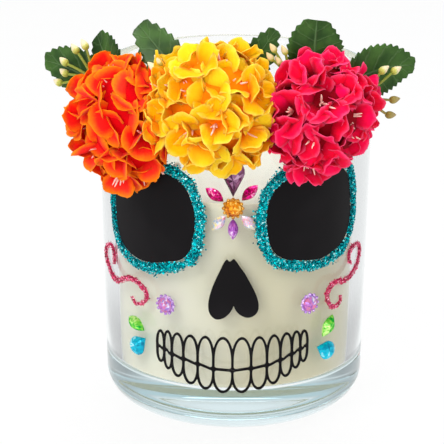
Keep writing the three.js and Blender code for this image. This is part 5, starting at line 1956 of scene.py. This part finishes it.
@dataclass
class Sprig:
    """Stalk that forks into stems, each with a pointed bud."""

    name: str
    seat: Seat
    clock: float
    reach: float
    height: float
    fork_share: float
    bud_clocks: tuple[float, ...]
    bud_shares: tuple[float, ...]
    brown: tuple[int, ...] = ()
    layer: float = 2.15
    stem_radius: float = 0.6
    bud_radius: float = 1.5
    bud_length: float = 4.7

    def spot(self, clock: float, out: float, layer: float) -> np.ndarray:
        """Place at a clock angle and distance from the glue."""
        angle = math.radians(clock)
        return self.seat.at([out * math.cos(angle), out * math.sin(angle), layer],
                            self.seat.seat_height)

    def build(self, material: Material) -> None:
        """Makes the stalk, stems and buds as one piece."""
        fork = self.spot(self.clock, self.reach * self.fork_share, self.layer)
        start = self.spot(self.clock, 6.8, self.layer)
        parts, tags = [], []

        def add(part: Mesh, along: np.ndarray | float, brown: float) -> None:
            """Notes a part, with its share along the bud and how brown it is."""
            parts.append(part)
            tags.append(beside(np.resize(along, len(part[0])), brown, 0.0))

        stalk = start + (fork - start) * np.linspace(0, 1, 6)[:, None]
        add(tube(stalk, np.full(6, self.stem_radius), 8), -0.9, 0.0)
        s = np.linspace(0.0, 1.0, 9)[:, None]
        u = np.linspace(0.0, 1.0, 15)
        form = self.bud_radius * np.sin(np.pi * u ** 0.72) ** 0.75 * (1 - 0.25 * u) + 0.02
        for number, (clock, share) in enumerate(zip(self.bud_clocks, self.bud_shares)):
            brown = 0.85 if number in self.brown else 0.0
            neck = self.spot(clock, self.reach * share - self.bud_length, self.layer + self.height)
            tip = self.spot(clock, self.reach * share, self.layer + self.height)
            bow = unit(np.cross(tip - neck, self.seat.axes()[2])) * 0.35 * np.sin(np.pi * s)
            path = fork + (neck + (tip - neck) * 0.2 - fork) * s + bow
            add(tube(path, self.stem_radius * np.linspace(0.9, 0.75, 9), 7), -0.8, brown)
            add(tube(neck + (tip - neck) * u[:, None], form, 12), np.repeat(u, 12), brown)
        points, faces = merged(parts)
        piece = write_piece(self.name.replace("sprig", "buds"), points, faces, material, True,
                            {"bud": np.concatenate(tags)})
        fit(piece, "buds", self.name)


def glue_drop(seat: Seat, material: Material) -> None:
    """Makes the pressed drop of glue between a head and the wall.

    Rings run out over the wall's own curve, up a bulged side and in over the flat top.

    Args:
        seat: The flower head's seat.
        material: Finish of the glue.
    """
    radius, gap, top = 6.0, 0.3, seat.standoff - 0.35
    wall = seat.wall
    angle = turns(48)[None]
    side = np.linspace(0.0, 1.0, 9)[1:, None]
    base = np.array([0.02, 0.3, 0.6, 0.85, 0.97])[:, None] * radius
    bulge = radius * (0.97 + 0.03 * np.sin(np.pi * side) - 0.13 * side ** 3)
    cap = np.array([0.6, 0.3, 0.02])[:, None] * radius
    reach = np.concatenate([base, bulge, cap])
    across, up = reach * np.cos(angle), reach * np.sin(angle)
    curve = wall.radius(seat.seat_height + up[:len(base)]) + gap
    depth = np.sqrt(curve ** 2 - across[:len(base)] ** 2) - wall.rim_radius
    climb = depth[-1:] + (top - depth[-1:]) * side
    layer = np.concatenate([depth, climb, np.full((len(cap), angle.size), top)])
    rings = seat.at(beside(across, up, layer), seat.seat_height)
    fit(write_piece(f"glue_drop_{seat.name}", *loft(rings), material), "hot_glue",
        f"glue_{seat.name}")


@dataclass
class Crown:
    """Three flower heads with their glue, leaves and sprigs."""

    orange: Seat = Seat("orange", -38.0, 11.0, 21.5, 26.0, 23.5)
    yellow: Seat = Seat("yellow", -6.7, 1.5, 22.8, 24.0, 26.0)
    pink: Seat = Seat("pink", 27.7, 6.5, 21.0, 23.5, 25.0)

    def build(self) -> None:
        """Makes the whole crown."""
        self.build_heads()
        glue = GlueFinish().material()
        for seat in (self.orange, self.yellow, self.pink):
            glue_drop(seat, glue)
        self.build_leaves()
        self.build_sprigs()

    def build_heads(self) -> None:
        """Makes the heads, each in its own dye."""
        # Each finish lists heart (dye and painted shade), body, crest (painted highlight) and rim.
        FlowerHead(self.orange, PetalFinish(
            "petals_red_orange", srgb(215, 0, 14), srgb(255, 30, 24), srgb(255, 58, 38),
            srgb(255, 136, 10), rim_width=3.3, heart_reach=0.7, rim_strength=0.9), 11,
            (self.yellow,), florets_count=30, petal_length=11.2, petal_width=12.2,
            upright_share=0.24, ruffle=0.4).build()
        FlowerHead(self.yellow, PetalFinish(
            "petals_yellow", srgb(255, 138, 0), srgb(255, 184, 0), srgb(255, 210, 30),
            srgb(255, 222, 104), rim_width=1.8, heart_reach=0.62, rim_strength=0.45, glow=0.5), 23,
            (self.orange, self.pink), ruffle=0.85).build()
        FlowerHead(self.pink, PetalFinish(
            "petals_pink", srgb(136, 0, 20), srgb(236, 0, 54), srgb(255, 4, 84),
            srgb(255, 96, 146), rim_width=1.8, heart_reach=0.75, rim_strength=0.5), 37,
            (self.yellow,), ruffle=0.95).build()

    def build_leaves(self) -> None:
        """Makes the six leaves."""
        satin = LeafFinish().material()
        waxed = LeafFinish("leaf_waxed", gloss=0.36, wax=0.45).material()
        Leaf("leaf_orange_side", self.orange, 150, 30, 47, 19, 1.5, blunt=0.96).build(satin)
        Leaf("leaf_orange_top", self.orange, 129, 6, 34, 18, -4, teeth=9, blunt=0.93).build(satin)
        Leaf("leaf_yellow_left", self.yellow, 129.8, 6, 40.6, 15.4, -6.2, teeth=9,
             blunt=0.9).build(waxed)
        Leaf("leaf_yellow_right", self.yellow, 57, 0, 36.6, 12, -3, teeth=8,
             blunt=0.95).build(satin)
        Leaf("leaf_pink_top", self.pink, 92, -14, 32.2, 24, -2, teeth=9, blunt=0.9).build(satin)
        Leaf("leaf_pink_side", self.pink, 35, -44, 45, 19.5, 0.5, teeth=13, blunt=0.97).build(satin)

    def build_sprigs(self) -> None:
        """Makes the four sprigs."""
        cream = BudFinish().material()
        green = BudFinish("bud_green", base=srgb(170, 176, 62), tip=srgb(228, 204, 150)).material()
        Sprig("sprig_orange", self.orange, 150, 38.5, 2.3, 0.57, (132, 141, 154, 160, 168),
              (0.883, 0.935, 0.987, 0.948, 1)).build(cream)
        Sprig("sprig_yellow", self.yellow, 136, 30, 1, 0.6, (133.5, 140), (1, 1)).build(cream)
        Sprig("sprig_pink_left", self.pink, 128, 33.5, 0.8, 0.567, (130.5, 125.5, 119.5, 127.5),
              (0.955, 1, 0.896, 0.851), bud_radius=1.2, bud_length=4.2).build(green)
        Sprig("sprig_pink_right", self.pink, 12, 36.5, 2.3, 0.548, (26, 21, 3, -7),
              (0.877, 1, 0.932, 0.896), brown=(2, 3)).build(cream)


# Studio


@dataclass
class Softbox:
    """Area lamp aimed at the candle."""

    name: str
    place: tuple[float, float, float]
    size: float
    watts: float
    mirrored: bool = True

    def build(self) -> Piece:
        """Makes the lamp."""
        data = bpy.data.lights.new(self.name, "AREA")
        data.shape, data.size, data.energy = "SQUARE", self.size, self.watts
        lamp = bpy.data.objects.new(self.name, data)
        lamp.location = self.place
        aim = Vector((0, 0, 0.07)) - lamp.location
        lamp.rotation_euler = aim.to_track_quat("-Z", "Y").to_euler()
        lamp.visible_glossy = self.mirrored
        bpy.context.scene.collection.objects.link(lamp)
        return lamp


@dataclass
class Studio:
    """White cove, soft lamps and the photograph's camera."""

    elevation: float = 0.3131
    distance: float = 0.8
    target: float = 0.0634
    pixels_per_mm: float = 2.7015
    roll: float = 0.0065
    middle: tuple[float, float] = (234.7437, 231.1312)
    surround: float = 0.42
    ceiling: float = 0.9
    soft: float = 0.55

    def build(self) -> None:
        """Makes the world, floor, lamps and camera."""
        bpy.context.scene.view_settings.view_transform = "Standard"
        self.build_world()
        self.build_floor()
        for box in (Softbox("key_softbox", (-0.55, -0.75, 0.75), 0.5, 5.0),
                    Softbox("fill_softbox", (0.75, -0.6, 0.45), 0.6, 1.6),
                    Softbox("front_softbox", (-0.35, -1.3, 0.1), 0.8, 7.0),
                    Softbox("top_softbox", (0.05, 0.1, 1.0), 0.7, 6.5, False)):
            box.build()
        self.build_camera()

    def build_world(self) -> None:
        """White where it is seen, mirrored or seen through glass; softer as a light.

        Behind the candle it is white, and it falls to the surround's level on the other
        sides. Rays that are trapped in the glass find a pale ceiling, strongest in the middle.
        """
        room = Shader("white_room", world=True)
        across, ahead, above = room.split(room.add("TexCoord").outputs["Generated"])
        level = room.span(ahead, 0.5, 0.97, self.surround)
        middle = room.span(room.maths("ABSOLUTE", across), 0.3, 0.75, 1.0, 0.35)
        ceiling = room.times(room.times(room.span(above, 0.05, 0.5, 0.0, self.ceiling),
                                        room.trapped()), middle)
        level = room.most(level, ceiling, room.ray("Is Camera Ray"))
        soft = room.add("Background", {"Color": (0.96, 0.98, 1.0, 1.0), "Strength": self.soft})
        white = room.add("Background", {"Color": WHITE, "Strength": level})
        room.end_between(room.seen(), soft, white)
        bpy.context.scene.world = room.owner

    def build_floor(self) -> None:
        """Wide pale disc just under the candle, white to the camera but for its shadow.

        Seen through the glass it darkens on each side of the candle, a painted shade that gives
        the thick base its darker sides.
        """
        radius = np.concatenate([[0.0], np.linspace(0.05, 6.0, 24)]) * 1000
        mesh = revolve(np.concatenate([beside(radius, -0.02), [(0.0, -8.0)]]), 64)
        shader = Shader("white_floor")
        where = shader.place()
        plain = shader.add("BsdfDiffuse", {"Color": shader.mottle(
            shader.noise(where, 40.0), srgb(238, 238, 238), srgb(242, 242, 242))})
        # Painted shade for the glass base: the floor darkens on each side, only as seen through
        # glass.
        aside = shader.span(shader.maths("ABSOLUTE", shader.split(where)[0]), 0.05, 0.075)
        near = shader.span(shader.length(where), 0.10, 0.16, 0.62, 0.32)
        painted_base_shade = shader.times(shader.times(aside, near), shader.ray("Is Transmission Ray"))
        glow = shader.add("Emission", {"Color": WHITE,
                                       "Strength": shader.maths("SUBTRACT", 1.0, painted_base_shade)})
        share = shader.most(shader.times(shader.seen(), 0.9),
                            shader.times(shader.ray("Is Diffuse Ray"), 0.85))
        shader.end_between(share, plain, glow)
        write_piece("floor", *mesh, shader.owner)

    def build_camera(self) -> None:
        """Long lens from the front, a little above, shifted and rolled as the photograph is."""
        data = bpy.data.cameras.new("camera")
        data.lens = self.pixels_per_mm * self.distance * 1000 / PHOTO_PIXELS * data.sensor_width
        data.clip_end = 50.0
        data.shift_x = (PHOTO_PIXELS / 2 - self.middle[0]) / PHOTO_PIXELS
        data.shift_y = (self.middle[1] - PHOTO_PIXELS / 2) / PHOTO_PIXELS
        camera = bpy.data.objects.new("camera", data)
        target = Vector((0.0, 0.0, self.target))
        back = Vector((0.0, -math.cos(self.elevation), math.sin(self.elevation)))
        camera.location = target + back * self.distance
        aim = (-back).to_track_quat("-Z", "Y").to_matrix() @ Matrix.Rotation(self.roll, 3, "Z")
        camera.rotation_euler = aim.to_euler()
        bpy.context.scene.collection.objects.link(camera)
        bpy.context.scene.camera = camera


def glitter(layout: Layout) -> list[GlitterLine]:
    """The eye rings, just outside the sockets, and the cheek scrolls."""
    # The last, palest stop of each ramp is a painted glint.
    teal = GlitterFinish("teal_foil", shades(
        (0.0, (0, 74, 86)), (0.3, (0, 142, 154)), (0.6, (0, 186, 194)), (0.87, (0, 222, 226)),
        (1.0, (210, 255, 252))), 0.75)
    teal_bead = GlueBeadFinish("teal_glue", srgb(0, 132, 142), srgb(0, 76, 88))
    rose = GlitterFinish("rose_foil", shades(
        (0.0, (150, 10, 52)), (0.3, (218, 48, 98)), (0.6, (246, 98, 146)), (0.84, (255, 170, 196)),
        (1.0, (255, 240, 244))), 0.6)
    rose_bead = GlueBeadFinish("rose_glue", srgb(224, 60, 112), srgb(172, 22, 68))
    ring_width, scroll_width = 3.8, 2.3
    rings = [GlitterLine(
        f"teal_ring_{side.name.lower()}", f"glitter_ring_{side.name.lower()}", "teal_glitter",
        smooth_curve(layout.eye(side).points(EYE_SHARES[side]), True, 420), True, ring_width,
        teal_bead, teal, 5600, seed, sideways=0.05 + ring_width / 2, breaks=breaks)
        for side, breaks, seed in ((Side.LEFT, (0.86,), 5), (Side.RIGHT, (0.84, 0.93), 6))]
    scrolls = [GlitterLine(
        f"rose_scroll_{side.name.lower()}", f"glitter_swirl_{side.name.lower()}", "pink_glitter",
        smooth_curve(layout.swirl(side).points(SWIRL_SHARES[side]), False, 200), False,
        scroll_width, rose_bead, rose, 1300, seed, flake_size=0.5)
        for side, seed in ((Side.LEFT, 8), (Side.RIGHT, 9))]
    return [*rings, *scrolls]


def main() -> None:
    """Builds the candle piece by piece, then the studio."""
    logging.basicConfig(level=logging.INFO, format="%(message)s")
    layout = Layout()
    tumbler = Tumbler()
    tumbler.build()
    Filling(tumbler).build()
    VinylFace(layout).build()
    for line in glitter(layout):
        line.build()
    Stones(layout).build()
    Crown().build()
    Studio().build()
    LOG.info("scene ready")


if __name__ == "__main__":
    main()
